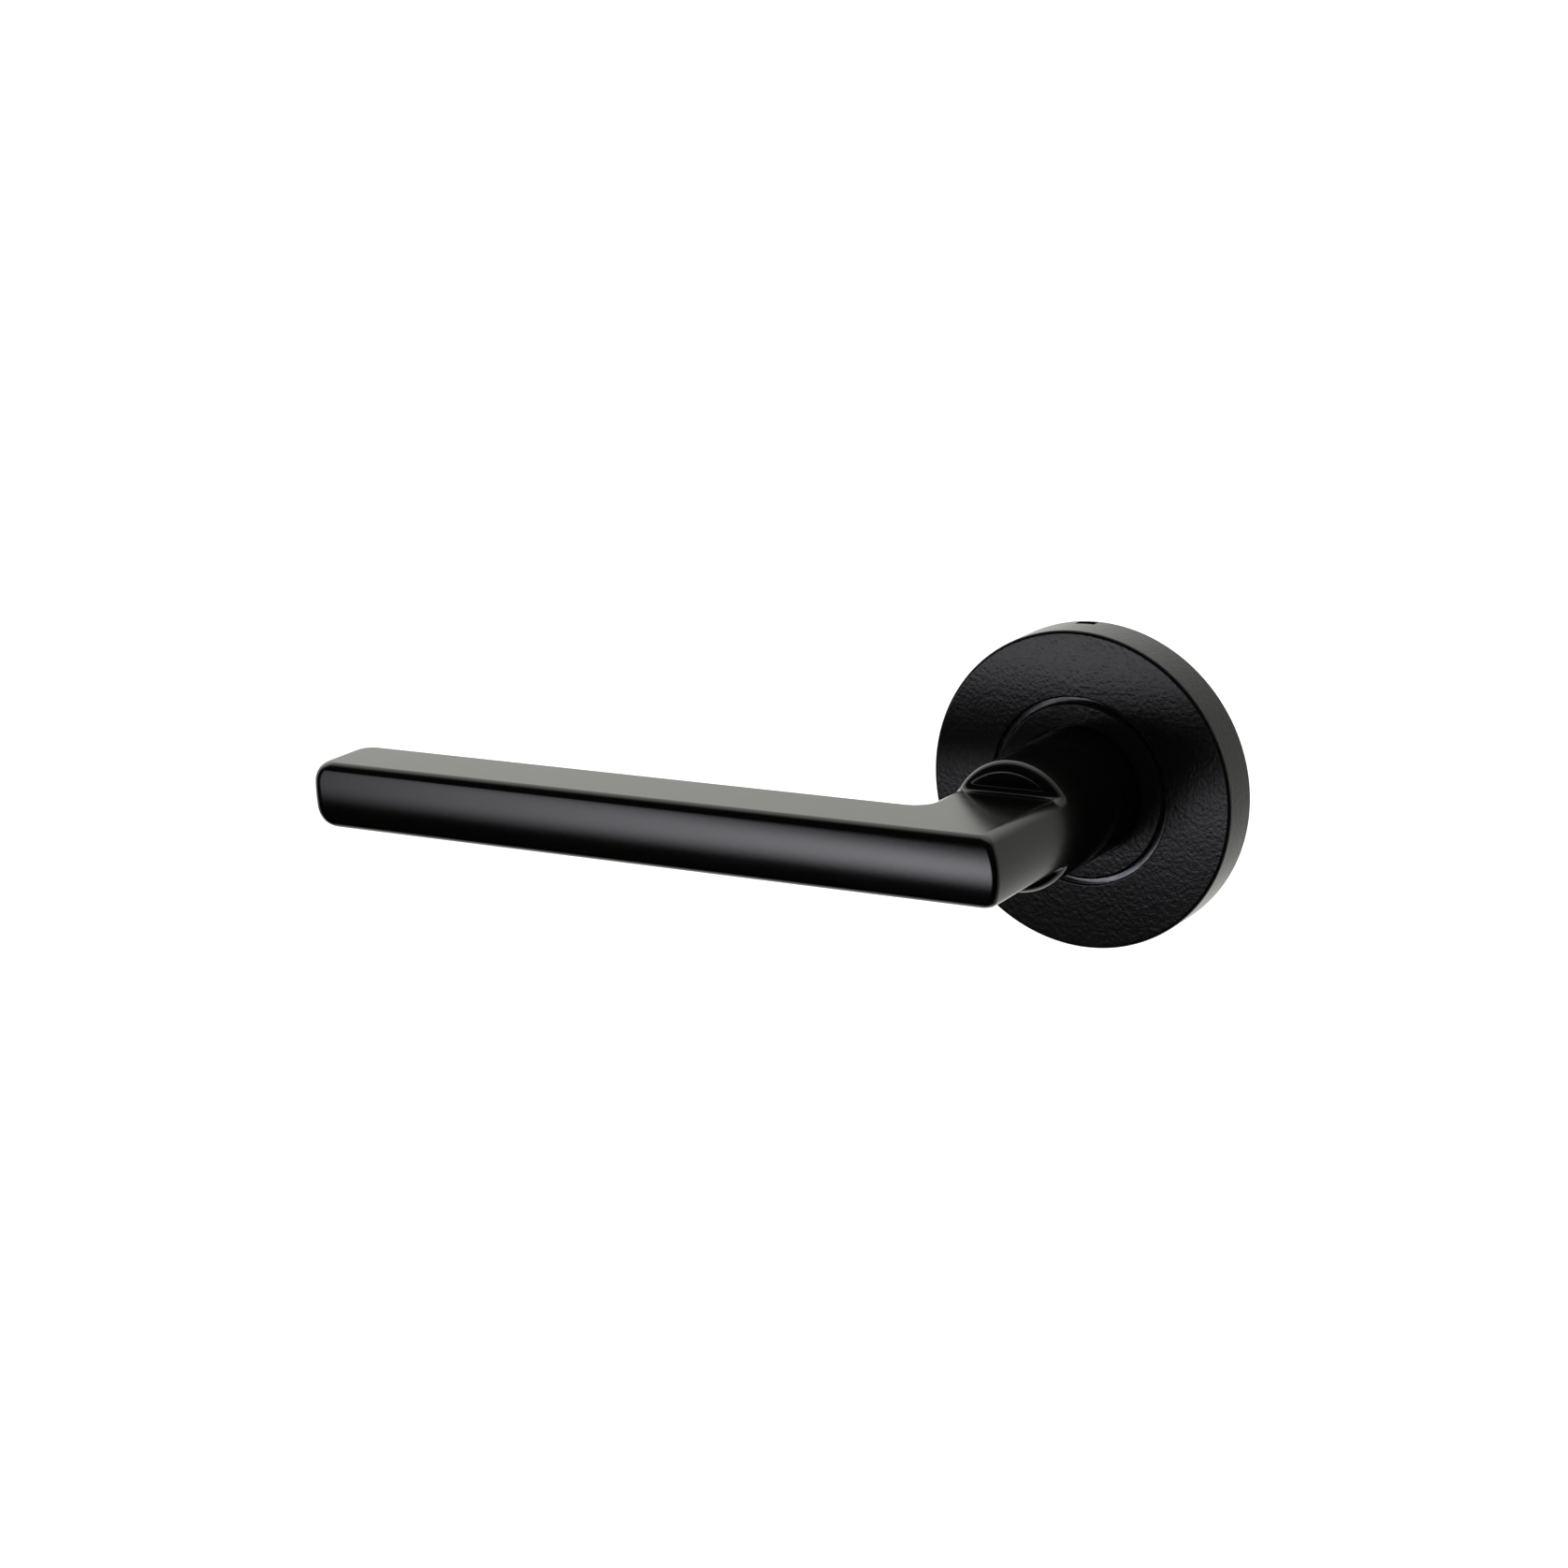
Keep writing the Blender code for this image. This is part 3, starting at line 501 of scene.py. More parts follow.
def powder_coat(name, colour, roughness, peel, peel_height, specular):
    """Polyester powder coat, sprayed and baked: a satin black skin with the slight orange peel
    of powder that flowed in the oven, so its broad soft reflections break up a little."""
    material, tree, shader, coords = new_material(name)
    wave = add(tree, "ShaderNodeTexNoise", {"Vector": coords, "Scale": per_mm(peel),
                                            "Detail": 2.0, "Roughness": 0.45})
    grit = add(tree, "ShaderNodeTexNoise", {"Vector": coords, "Scale": per_mm(peel * 0.3),
                                            "Detail": 1.0})
    cloud = add(tree, "ShaderNodeTexNoise", {"Vector": coords, "Scale": per_mm(14.0),
                                             "Detail": 3.0})
    rough = add(tree, "ShaderNodeMapRange", {**NOISE_SPREAD, "Value": cloud,
                                             "To Min": roughness * 0.94,
                                             "To Max": roughness * 1.07})
    depth = add(tree, "ShaderNodeMapRange", {**NOISE_SPREAD, "Value": wave,
                                             "To Min": 0.8, "To Max": 1.2})
    tint = add(tree, "ShaderNodeVectorMath", {0: tuple(colour), "Scale": depth},
               operation="SCALE")
    fine = add(tree, "ShaderNodeBump", {"Height": grit, "Strength": 0.4,
                                        "Distance": peel_height * 0.25 * MM})
    bump = add(tree, "ShaderNodeBump", {"Height": wave, "Strength": 1.0, "Normal": fine,
                                        "Distance": peel_height * MM})
    wire(tree, shader, {"Base Color": tint, "Roughness": rough, "Normal": bump,
                        "Specular IOR Level": specular})
    return material


def bare_metal(name, colour, roughness, grain, stretch, depth):
    """Metal whose surface lines or mottle come from how it was drawn, turned, rolled or cast."""
    material, tree, shader, coords = new_material(name)
    place = add(tree, "ShaderNodeMapping", {"Vector": coords, "Scale": stretch})
    lines = add(tree, "ShaderNodeTexNoise", {"Vector": place, "Scale": per_mm(grain),
                                             "Detail": 3.0})
    bloom = add(tree, "ShaderNodeTexNoise", {"Vector": coords, "Scale": per_mm(4.0),
                                             "Detail": 2.0})
    rough = add(tree, "ShaderNodeMapRange", {**NOISE_SPREAD, "Value": lines,
                                             "To Min": roughness * 0.8,
                                             "To Max": roughness * 1.25})
    shadow = add(tree, "ShaderNodeMapRange", {**NOISE_SPREAD, "Value": bloom,
                                              "To Min": 0.82, "To Max": 1.05})
    tint = add(tree, "ShaderNodeVectorMath", {0: linear(colour)[:3], "Scale": shadow},
               operation="SCALE")
    bump = add(tree, "ShaderNodeBump", {"Height": lines, "Strength": 0.6,
                                        "Distance": depth * MM})
    wire(tree, shader, {"Base Color": tint, "Roughness": rough, "Normal": bump,
                        "Metallic": 1.0})
    return material


def moulded_nylon(name, colour, roughness):
    """Natural nylon from a spark-eroded mould: milky, a little translucent, finely pitted."""
    material, tree, shader, coords = new_material(name)
    pits = add(tree, "ShaderNodeTexNoise", {"Vector": coords, "Scale": per_mm(0.25),
                                            "Detail": 2.0})
    shadow = add(tree, "ShaderNodeMapRange", {**NOISE_SPREAD, "Value": pits,
                                              "To Min": 0.94, "To Max": 1.0})
    tint = add(tree, "ShaderNodeVectorMath", {0: linear(colour)[:3], "Scale": shadow},
               operation="SCALE")
    bump = add(tree, "ShaderNodeBump", {"Height": pits, "Strength": 0.4,
                                        "Distance": 0.01 * MM})
    wire(tree, shader, {"Base Color": tint, "Normal": bump, "Roughness": roughness,
                        "IOR": 1.53})
    return material


def finish(name):
    """One of the object's finishes, made the first time it is asked for."""
    found = bpy.data.materials.get(name)
    if found:
        return found
    coat = bpy.context.scene.lever_finish
    even = (1.0, 1.0, 1.0)
    makers = {
        "lever_powder_coat": lambda: powder_coat(name, coat.lever_black, coat.lever_roughness,
                                                 0.9, 0.004, 0.5),
        "rose_powder_coat": lambda: powder_coat(name, coat.rose_black, coat.rose_roughness,
                                                0.6, 0.048, 0.34),
        # cast zinc: dull grey with the faint mottle of the die
        "die_cast_zinc": lambda: bare_metal(name, "#A2A5A8", 0.46, 0.5, even, 0.02),
        # rolled steel sheet under bright zinc: lines along the strip
        "zinc_plated_sheet": lambda: bare_metal(name, "#C0C4C8", 0.30, 0.35, (0.12, 1.0, 1.0),
                                                0.004),
        # drawn steel bar under bright zinc: lines along its length
        "zinc_plated_bar": lambda: bare_metal(name, "#BDC1C6", 0.27, 0.3, (1.0, 0.06, 1.0),
                                              0.006),
        # oil-tempered wire: dark, smooth, slightly blue
        "oiled_spring_wire": lambda: bare_metal(name, "#5C5F66", 0.28, 0.2, even, 0.003),
        # black oxide over steel, oiled
        "black_oxide": lambda: bare_metal(name, "#2A2A2D", 0.36, 0.25, even, 0.004),
        "natural_nylon": lambda: moulded_nylon(name, "#E4E0D3", 0.45),
    }
    return makers[name]()


# ---- the lever -----------------------------------------------------------------------
def quarter(offset, radius):
    """How far a quarter round of that radius has dropped, offset along from its start."""
    reach = min(max(offset, 0.0), radius)
    return radius - math.sqrt(max(radius * radius - reach * reach, 0.0))


def ease(share):
    """Smooth step from nought to one."""
    share = min(max(share, 0.0), 1.0)
    return share * share * (3.0 - 2.0 * share)


def chord(radius, z):
    """Half the width of a circle of that radius, at height z."""
    return math.sqrt(max(radius * radius - z * z, 0.0))


def blade_loop(sizes, z):
    """Outline of one level through the blade, from the neck's right side to its left side."""
    half = sizes.height / 2.0
    start = sizes.step_plane - sizes.neck_rim
    reach = sizes.neck_rim + sizes.root + 0.6
    inset = quarter(abs(z) - (half - sizes.edge), sizes.edge)
    front = BLADE_FRONT - sizes.crown * (z / half) ** 2 - inset
    back = BLADE_FRONT - sizes.thickness + inset
    tip = -BLADE_TIP + max(inset, quarter(abs(z) - (half - sizes.tip_round), sizes.tip_round))
    rim, corner = sizes.front_rim, max(sizes.tip_corner - 0.6 * inset, 0.5)

    side = [(NECK_RADIUS - inset * ease(i / 10.0), start + reach * i / 10.0) for i in range(11)]
    shaft = NECK_RADIUS - inset
    points = [(chord(radius, z), depth) for radius, depth in side]
    points += [(chord(shaft, z), start + reach + (front - rim - start - reach) * i / 4.0)
               for i in range(1, 4)]
    points += [(chord(radius, z), depth)
               for radius, depth in rounded((shaft - rim, front - rim), rim, 0.0, 90.0, 7)]
    right = points[-1][0]
    points += [(right + (tip + corner - right) * i / 12.0, front) for i in range(1, 12)]
    points += rounded((tip + corner, front - corner), corner, 90.0, 180.0, 9)
    points += rounded((tip + corner, back + corner), corner, 180.0, 270.0, 9)
    bend = sizes.crotch
    heel = -chord(NECK_RADIUS + bend, z)
    points += [(tip + corner + (heel - tip - corner) * i / 12.0, back) for i in range(1, 12)]
    turn = rounded((NECK_RADIUS + bend, BLADE_FRONT - sizes.thickness - bend), bend + inset,
                   90.0, 180.0, 9)
    points += [(-chord(radius, z), depth) for radius, depth in turn]
    points += [(-chord(radius, z), depth) for radius, depth in reversed(side)]
    return points


def neck_line(sizes, z, count=64):
    """Front of one level through the round neck above the flats, right to left."""
    half = sizes.height / 2.0
    rim, root = sizes.neck_rim, sizes.root
    start = sizes.step_plane - rim
    fill = quarter(half + root - abs(z), root)
    points = []
    for i in range(count + 1):
        x = chord(NECK_RADIUS, z) * math.cos(math.pi * i / count)
        inside = NECK_RADIUS - math.hypot(x, z)
        depth = start + chord(rim, rim - min(inside, rim)) + fill * ease(inside / rim)
        points.append((x, depth))
    return points


def lever_levels(sizes):
    """Heights of the levels above the middle: through the blade, then above the flats."""
    half = sizes.height / 2.0
    low = half - sizes.edge
    blade = [low * i / 10.0 for i in range(11)]
    blade += [low + sizes.edge * math.sin(math.radians(10.0 * i)) for i in range(1, 10)]
    neck = [half + sizes.root * (1.0 - math.cos(math.radians(15.0 * i))) for i in range(7)]
    first = math.asin(neck[-1] / NECK_RADIUS)
    last = math.radians(88.5)
    neck += [NECK_RADIUS * math.sin(first + (last - first) * i / 30.0) for i in range(1, 31)]
    return blade, neck


def casting_skin(sizes):
    """The lever's outside as one closed skin of stacked levels, flats and round neck together."""
    shape = bmesh.new()

    def corner(x, depth, z):
        return shape.verts.new((x * MM, -depth * MM, z * MM))

    def shaft(z):
        width = chord(NECK_RADIUS, z)
        deep = sizes.step_plane - sizes.neck_rim
        stations = [deep + (NECK_SHOULDER - deep) * i / 4.0 for i in range(1, 5)]
        return ([corner(-width, depth, z) for depth in stations]
                + [corner(width, depth, z) for depth in reversed(stations)])

    def level(z, outline):
        return [corner(x, depth, z) for x, depth in outline], shaft(z)

    def sew(lower, upper):
        first, second = lower[0] + lower[1], upper[0] + upper[1]
        for i in range(len(first)):
            j = (i + 1) % len(first)
            shape.faces.new((first[i], first[j], second[j], second[i]))

    blade, neck = lever_levels(sizes)
    heights = [-z for z in reversed(blade[1:])] + blade
    middle = [level(z, blade_loop(sizes, z)) for z in heights]
    for lower, upper in zip(middle, middle[1:]):
        sew(lower, upper)
    for side, (line, back) in ((1.0, middle[-1]), (-1.0, middle[0])):
        z = side * neck[0]
        inner = [corner(x, depth, z) for x, depth in neck_line(sizes, z)[1:-1]]
        shape.faces.new(line + list(reversed(inner)))
        below = ([line[0]] + inner + [line[-1]], back)
        for height in neck[1:]:
            above = level(side * height, neck_line(sizes, side * height))
            sew(below, above)
            below = above
        shape.faces.new(below[0] + below[1])
    return clean(built("lever_casting", shape))


def upright(name, radius, low, high, depth, steps=48):
    """Rod along Z at that depth in front of the door."""
    shape = bmesh.new()
    bmesh.ops.create_cone(shape, cap_ends=True, segments=steps, radius1=radius * MM,
                          radius2=radius * MM, depth=(high - low) * MM)
    bmesh.ops.translate(shape, verts=shape.verts,
                        vec=(0.0, -depth * MM, (low + high) / 2.0 * MM))
    return built(name, shape)


def lever_casting(sizes):
    """The skin with its journal, shank, spindle socket, drive flats and grub screw hole."""
    groove_front, groove_back, groove_cut = CLIP_GROOVE
    lever = casting_skin(sizes)
    journal = turned("journal", [
        (0.0, NECK_SHOULDER + 2.0), (JOURNAL_RADIUS, NECK_SHOULDER + 2.0),
        (JOURNAL_RADIUS, JOURNAL_END + 0.2), (JOURNAL_RADIUS - 0.2, JOURNAL_END),
        (SHANK_RADIUS, JOURNAL_END), (SHANK_RADIUS, groove_front),
        (SHANK_RADIUS - groove_cut, groove_front), (SHANK_RADIUS - groove_cut, groove_back),
        (SHANK_RADIUS, groove_back), (SHANK_RADIUS, SHANK_END + 0.3),
        (SHANK_RADIUS - 0.3, SHANK_END), (0.0, SHANK_END)])
    cut(lever, journal, "UNION")
    cut(lever, block("socket", (-SOCKET_HALF, -SOCKET_DEPTH, -SOCKET_HALF),
                     (SOCKET_HALF, 1.0, SOCKET_HALF)))
    for side in (-1.0, 1.0):
        edges = sorted((side * SHANK_FLAT, side * 12.0))
        cut(lever, block("drive_flat", (edges[0], -JOURNAL_END + 0.001, -12.0),
                         (edges[1], 1.0, 12.0)))
    cut(lever, upright("grub_hole", GRUB_RADIUS, -NECK_RADIUS - 1.0, 0.5 - SOCKET_HALF,
                       GRUB_PLACE))
    return shade(clean(lever), 32.0)


# ---- operators -----------------------------------------------------------------------
class DOORLEVER_OT_lever(bpy.types.Operator):
    """Cast lever: flat-sided blade, round neck, journal, shank and spindle socket"""
    bl_idname = "doorlever.lever"
    bl_label = "Lever"

    def execute(self, context):
        lever = lever_casting(context.scene.lever_sizes)
        settle(lever, LEVER, "black_coat", finish("lever_powder_coat"), "lever_handle")
        return {"FINISHED"}


class DOORLEVER_OT_collar(bpy.types.Operator):
    """Turned collar on the neck that fills the hole of the rose"""
    bl_idname = "doorlever.collar"
    bl_label = "Neck collar"

    def execute(self, context):
        steps = context.scene.rose_sizes.steps
        bore = NECK_RADIUS + GAP
        inner = JOURNAL_RADIUS + GAP
        back = BASE_DEPTH + GAP
        outline = rounded((bore + 0.15, ROSE_DEPTH - 0.15), 0.15, 180.0, 90.0, 3)
        outline += rounded((COLLAR_RADIUS - 0.5, ROSE_DEPTH - 0.5), 0.5, 90.0, 0.0, 8)
        outline += [(COLLAR_RADIUS, back), (inner, back), (inner, NECK_SHOULDER - GAP),
                    (bore, NECK_SHOULDER - GAP)]
        ring = shade(turned("collar_ring", outline, steps), 30.0)
        settle(ring, LEVER, "black_coat", finish("rose_powder_coat"), "neck_collar")
        return {"FINISHED"}


class DOORLEVER_OT_cover(bpy.types.Operator):
    """Pressed round cover with a pry slot in its wall"""
    bl_idname = "doorlever.cover"
    bl_label = "Rose cover"

    def execute(self, context):
        sizes = context.scene.rose_sizes
        inner = ROSE_RADIUS - sizes.wall
        under = ROSE_DEPTH - sizes.wall
        outline = rounded((sizes.hole + sizes.groove_edge, ROSE_DEPTH - sizes.groove_edge),
                          sizes.groove_edge, 180.0, 90.0, 8)
        outline += rounded((ROSE_RADIUS - sizes.edge, ROSE_DEPTH - sizes.edge), sizes.edge,
                           90.0, 0.0, 8)
        outline += [(ROSE_RADIUS, 0.2), (ROSE_RADIUS - 0.2, 0.0), (inner + 0.1, 0.0),
                    (inner, 0.1)]
        outline += rounded((inner - 0.3, under - 0.3), 0.3, 0.0, 90.0, 4)
        outline += [(sizes.hole + 0.1, under), (sizes.hole, under + 0.1)]
        cap = turned("rose_cap", outline, sizes.steps)
        half = sizes.slot_width / 2.0
        slot = block("pry_slot", (-half, -sizes.slot_front, inner - 0.5),
                     (half, -sizes.slot_rear, ROSE_RADIUS + 3.0), 90.0 - sizes.slot_angle)
        cap = shade(clean(cut(cap, slot)), 30.0)
        settle(cap, COVER, "black_coat", finish("rose_powder_coat"), "rose_cover")
        return {"FINISHED"}


def stepped_hole(name, angle, front_radius, step, back_radius, back):
    """Cutter for a hole along Y that changes radius at one depth."""
    front = BASE_DEPTH + 1.0
    outline = [(0.0, front), (front_radius, front), (front_radius, step), (back_radius, step),
               (back_radius, back), (0.0, back)]
    return turned(name, outline, 48, polar(FIXING_RADIUS, angle))


class DOORLEVER_OT_base(bpy.types.Operator):
    """Die-cast plate on the door with the spring pocket, stops and fixing holes"""
    bl_idname = "doorlever.base"
    bl_label = "Mounting plate"

    def execute(self, context):
        radius, seat_depth = BASE_RADIUS, LID_SEAT_DEPTH
        high, low, groove_cut = SNAP_GROOVE
        outline = [(BASE_HOLE, BASE_DEPTH), (radius - 0.6, BASE_DEPTH),
                   (radius, BASE_DEPTH - 0.6), (radius, high), (radius - groove_cut, high),
                   (radius - groove_cut, low), (radius, low), (radius, 0.2),
                   (radius - 0.2, 0.0), (LID_SEAT, 0.0), (LID_SEAT, seat_depth),
                   (SPRING_POCKET, seat_depth), (SPRING_POCKET, POCKET_FRONT),
                   (BASE_HOLE, POCKET_FRONT)]
        plate = turned("mounting_plate", outline, 160)
        for start, end in STOP_ANGLES:
            cut(plate, sector("stop_foot", BASE_HOLE + 0.3, SPRING_POCKET + 0.4, start + 1.0,
                              end - 1.0, POCKET_FRONT + 0.5, seat_depth + 0.7), "UNION")
            cut(plate, sector("spring_stop", STOP_INNER, SPRING_POCKET + 0.6, start, end,
                              STOP_FRONT, seat_depth + 0.3), "UNION")
        for angle in LID_SCREW_ANGLES:
            cut(plate, tongue("ear_seat", 13.0, LID_FIXING_RADIUS, angle, 3.9,
                              seat_depth + 0.1, -1.0))
            pin = [(0.0, 4.4), (1.55, 4.4), (1.55, -1.0), (0.0, -1.0)]
            cut(plate, turned("lid_screw_hole", pin, 32, polar(LID_FIXING_RADIUS, angle)))
        for angle in POST_ANGLES:
            cut(plate, stepped_hole("post_hole", angle, 2.3, 1.5, 3.4, -1.0))
        for angle in WOOD_SCREW_ANGLES:
            cut(plate, stepped_hole("wood_hole", angle, 3.5, 3.4, 2.05, -1.0))
        plate = shade(clean(plate), 30.0)
        settle(plate, BASE, "zinc_casting", finish("die_cast_zinc"), "base_plate")
        return {"FINISHED"}


class DOORLEVER_OT_cassette(bpy.types.Operator):
    """Cam, lid, bush and washer keep their own shapes and get their finishes"""
    bl_idname = "doorlever.cassette"
    bl_label = "Spring cassette"

    def execute(self, context):
        finishes = {"driver_cam": "zinc_plated_sheet", "cassette_lid": "zinc_plated_sheet",
                    "bearing_bush": "natural_nylon", "thrust_washer": "natural_nylon"}
        for node, name in finishes.items():
            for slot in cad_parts[node].material_slots:
                slot.material = finish(name)
        return {"FINISHED"}


class DOORLEVER_OT_rings(bpy.types.Operator):
    """Circlip on the shank and the split wire ring that grips the cover"""
    bl_idname = "doorlever.rings"
    bl_label = "Circlip and grip ring"

    def execute(self, context):
        front, back = 1.85, 1.35
        inner, outer, middle, lug = 7.6, 9.7, 8.65, 1.05
        clip = turned("circlip", [(inner, front), (outer, front), (outer, back),
                                  (inner, back)], 160)
        cut(clip, sector("clip_mouth", 1.0, 14.0, 60.0, 120.0, front + 1.0, back - 1.0))
        for angle in (60.0, 120.0):
            cut(clip, slab("clip_lug", polygon(lug, 32, polar(middle, angle)),
                           front - 0.01, back + 0.01), "UNION")
            cut(clip, slab("clip_eye", polygon(0.45, 20, polar(middle, angle)),
                           front + 1.0, back - 1.0))
        clip = shade(clean(clip), 30.0)
        settle(clip, LEVER, "spring_steel", finish("oiled_spring_wire"), "retaining_ring")

        wire, radius = 0.6, 24.05
        section = rounded((radius, SNAP_WIRE_PLACE), wire, 0.0, -345.0, 23)
        grip = turned("grip_ring", section, 200)
        cut(grip, sector("grip_split", 20.0, 30.0, 196.0, 208.0, 5.0, 1.0))
        grip = shade(clean(grip), 40.0)
        settle(grip, BASE, "spring_steel", finish("oiled_spring_wire"), "cover_snap_ring")
        return {"FINISHED"}


class DOORLEVER_OT_springs(bpy.types.Operator):
    """Two arc springs that bring the lever level"""
    bl_idname = "doorlever.springs"
    bl_label = "Return springs"

    def execute(self, context):
        sizes = context.scene.fixing_sizes
        form = coil_form()
        wire = finish("oiled_spring_wire")
        for name, node, start, end in (("arc_spring_right", "return_spring_right", -81.0, 24.0),
                                       ("arc_spring_left", "return_spring_left", 261.0, 156.0)):
            spring = grow(name, form, Arc=sizes.spring_radius * MM, Coil=sizes.spring_coil * MM,
                          Wire=sizes.spring_wire * MM, Place=3.1 * MM,
                          From=math.radians(start), To=math.radians(end),
                          Turns=sizes.spring_turns, Count=36 * sizes.spring_turns + 1,
                          Finish=wire)
            settle(shade(spring, 50.0), BASE, "spring_steel", wire, node)
        return {"FINISHED"}


def cross_recess(screw, centre, width, face, depth):
    """Cross-shaped driver recess sunk into a face at that depth, from the front or the back."""
    toward = 1.0 if depth > 0.0 else -1.0
    for turn in (0.0, 90.0):
        ends = sorted((-(face + toward), -(face - depth)))
        slot = block("recess", (-width, ends[0], -0.28), (width, ends[1], 0.28), turn, centre)
        cut(screw, slot)
    return screw


def thread_ridge(name, finish_name, radius, pitch, turns, ridge, start, steps):
    """Ridge of a thread about the Y axis, from its sizes in mm."""
    return grow(name, thread_form(), Radius=radius * MM, Pitch=pitch * MM, Turns=turns,
                Ridge=ridge * MM, Start=start * MM, Steps=steps, Sides=4,
                Finish=finish(finish_name))


def settle_fixing(name, node, core, ridge, centre):
    """Join a turned core with its thread and settle them on the base as one piece."""
    ridge.data.transform(Matrix.Translation((centre[0] * MM, 0.0, centre[1] * MM)))
    piece = shade(join(name, [core, ridge]), 30.0)
    settle(piece, BASE, "zinc_plated_steel", finish("zinc_plated_bar"), node)


class DOORLEVER_OT_fixings(bpy.types.Operator):
    """Wood screws, lid screws and the threaded posts for through bolts"""
    bl_idname = "doorlever.fixings"
    bl_label = "Screws and posts"

    def execute(self, context):
        sizes = context.scene.fixing_sizes
        wood = [(0.0, 5.4), (2.0, 5.4)] + rounded((2.4, 4.6), 0.8, 90.0, 0.0, 5)
        wood += [(3.2, 3.7), (1.5, 3.7), (1.5, 1.0), (1.2, 0.6), (1.2, -11.2), (0.2, -15.0),
                 (0.0, -15.0)]
        lid = [(0.0, 4.1), (0.9, 4.1), (1.1, 3.8), (1.1, 1.1), (2.1, 0.3), (2.05, 0.25),
               (0.0, 0.25)]
        tube = [(0.9, 5.6), (1.8, 5.6), (2.0, 5.4), (2.0, 1.2), (2.9, 1.2), (3.1, 1.0),
                (3.1, -7.6), (2.7, -8.0), (2.1, -8.0), (1.75, -7.6), (1.75, 3.0), (0.9, 3.6)]

        for name, node, angle in zip(("long_screw_upper", "long_screw_lower"),
                                     ("wood_screw_upper", "wood_screw_lower"),
                                     WOOD_SCREW_ANGLES):
            centre = polar(FIXING_RADIUS, angle)
            core = cross_recess(turned("core", wood, 48, centre), centre, 1.6, 5.4, 1.0)
            ridge = thread_ridge("ridge", "zinc_plated_bar", 1.3, sizes.wood_pitch,
                                 11.5 / sizes.wood_pitch, 0.42, -11.6, 28)
            settle_fixing(name, node, core, ridge, centre)

        for name, node, angle in zip(("plate_screw_right", "plate_screw_left"),
                                     ("lid_screw_right", "lid_screw_left"),
                                     LID_SCREW_ANGLES):
            centre = polar(LID_FIXING_RADIUS, angle)
            core = cross_recess(turned("core", lid, 40, centre), centre, 1.1, 0.25, -0.5)
            ridge = thread_ridge("ridge", "zinc_plated_bar", 1.12, 0.45, 5.0, 0.2, 1.5, 24)
            settle_fixing(name, node, core, ridge, centre)

        for name, node, angle in zip(("through_post_top", "through_post_bottom"),
                                     ("bolt_post_top", "bolt_post_bottom"), POST_ANGLES):
            centre = polar(FIXING_RADIUS, angle)
            core = turned("core", tube, 64, centre)
            ridge = thread_ridge("ridge", "zinc_plated_bar", 1.78, sizes.machine_pitch, 14.0,
                                 0.22, -7.2, 32)
            settle_fixing(name, node, core, ridge, centre)
        return {"FINISHED"}


class DOORLEVER_OT_spindle(bpy.types.Operator):
    """Square spindle and the grub screw that holds the lever on it"""
    bl_idname = "doorlever.spindle"
    bl_label = "Spindle and grub screw"

    def execute(self, context):
        bar = block("square_spindle", SPINDLE_LOW, SPINDLE_HIGH)
        bar = shade(soften(bar, 0.5, 3), 40.0)
        settle(bar, LEVER, "zinc_plated_steel", finish("zinc_plated_bar"), "spindle")

        radius, low, high = GRUB_RADIUS - GAP, 0.7 - NECK_RADIUS, -SOCKET_HALF - 0.05
        length = high - low
        core = turned("grub_core", [(0.0, length), (1.0, length - 0.5), (1.3, length),
                                    (radius - 0.5, length - 0.1), (radius - 0.25, length - 0.5),
                                    (radius - 0.25, 0.3), (radius - 0.5, 0.0), (0.0, 0.0)], 48)
        cut(core, slab("grub_hex", polygon(1.25 / math.cos(math.radians(30.0)), 6), 2.2, -1.0))
        ridge = thread_ridge("grub_ridge", "black_oxide", radius - 0.24, 0.8, 4.9, 0.22, 0.8,
                             36)
        grub = join("grub_body", [core, ridge])
        stand = Matrix.Translation((0.0, -GRUB_PLACE * MM, low * MM))
        grub.data.transform(stand @ Matrix.Rotation(math.radians(-90.0), 4, "X"))
        settle(shade(grub, 30.0), LEVER, "black_oxide", finish("black_oxide"), "grub_screw")
        return {"FINISHED"}


# ---- studio --------------------------------------------------------------------------
WARM_WHITE = (1.0, 1.0, 0.955, 1.0)
COOL_WHITE = (1.0, 0.985, 1.06, 1.0)


def paper_sweep(floor):
    """Pale paper that runs along the floor and curves up behind the object."""
    radius, wall, rise, wide = 0.8, 2.2, 3.0, 4.0
    profile = [(-3.0, floor)]
    for i in range(25):
        angle = math.radians(-90.0 + 90.0 * i / 24.0)
        profile.append((wall - radius + radius * math.cos(angle),
                        floor + radius + radius * math.sin(angle)))
    profile.append((wall, floor + rise))
    shape = bmesh.new()
    rows = [[shape.verts.new((side * wide, y, z)) for y, z in profile] for side in (-1.0, 1.0)]
    for i in range(len(profile) - 1):
        shape.faces.new((rows[0][i], rows[1][i], rows[1][i + 1], rows[0][i + 1]))
    sweep = built("paper_sweep", shape)
    sweep.data.shade_smooth()
    material, tree, shader, coords = new_material("matt_white_paper")
    fibre = add(tree, "ShaderNodeTexNoise", {"Vector": coords, "Scale": per_mm(2.0)})
    tone = add(tree, "ShaderNodeMapRange", {"Value": fibre, "To Min": 0.90, "To Max": 0.93})
    wire(tree, shader, {"Base Color": tone, "Roughness": 0.9})
    sweep.data.materials.append(material)
    sweep.visible_glossy = False


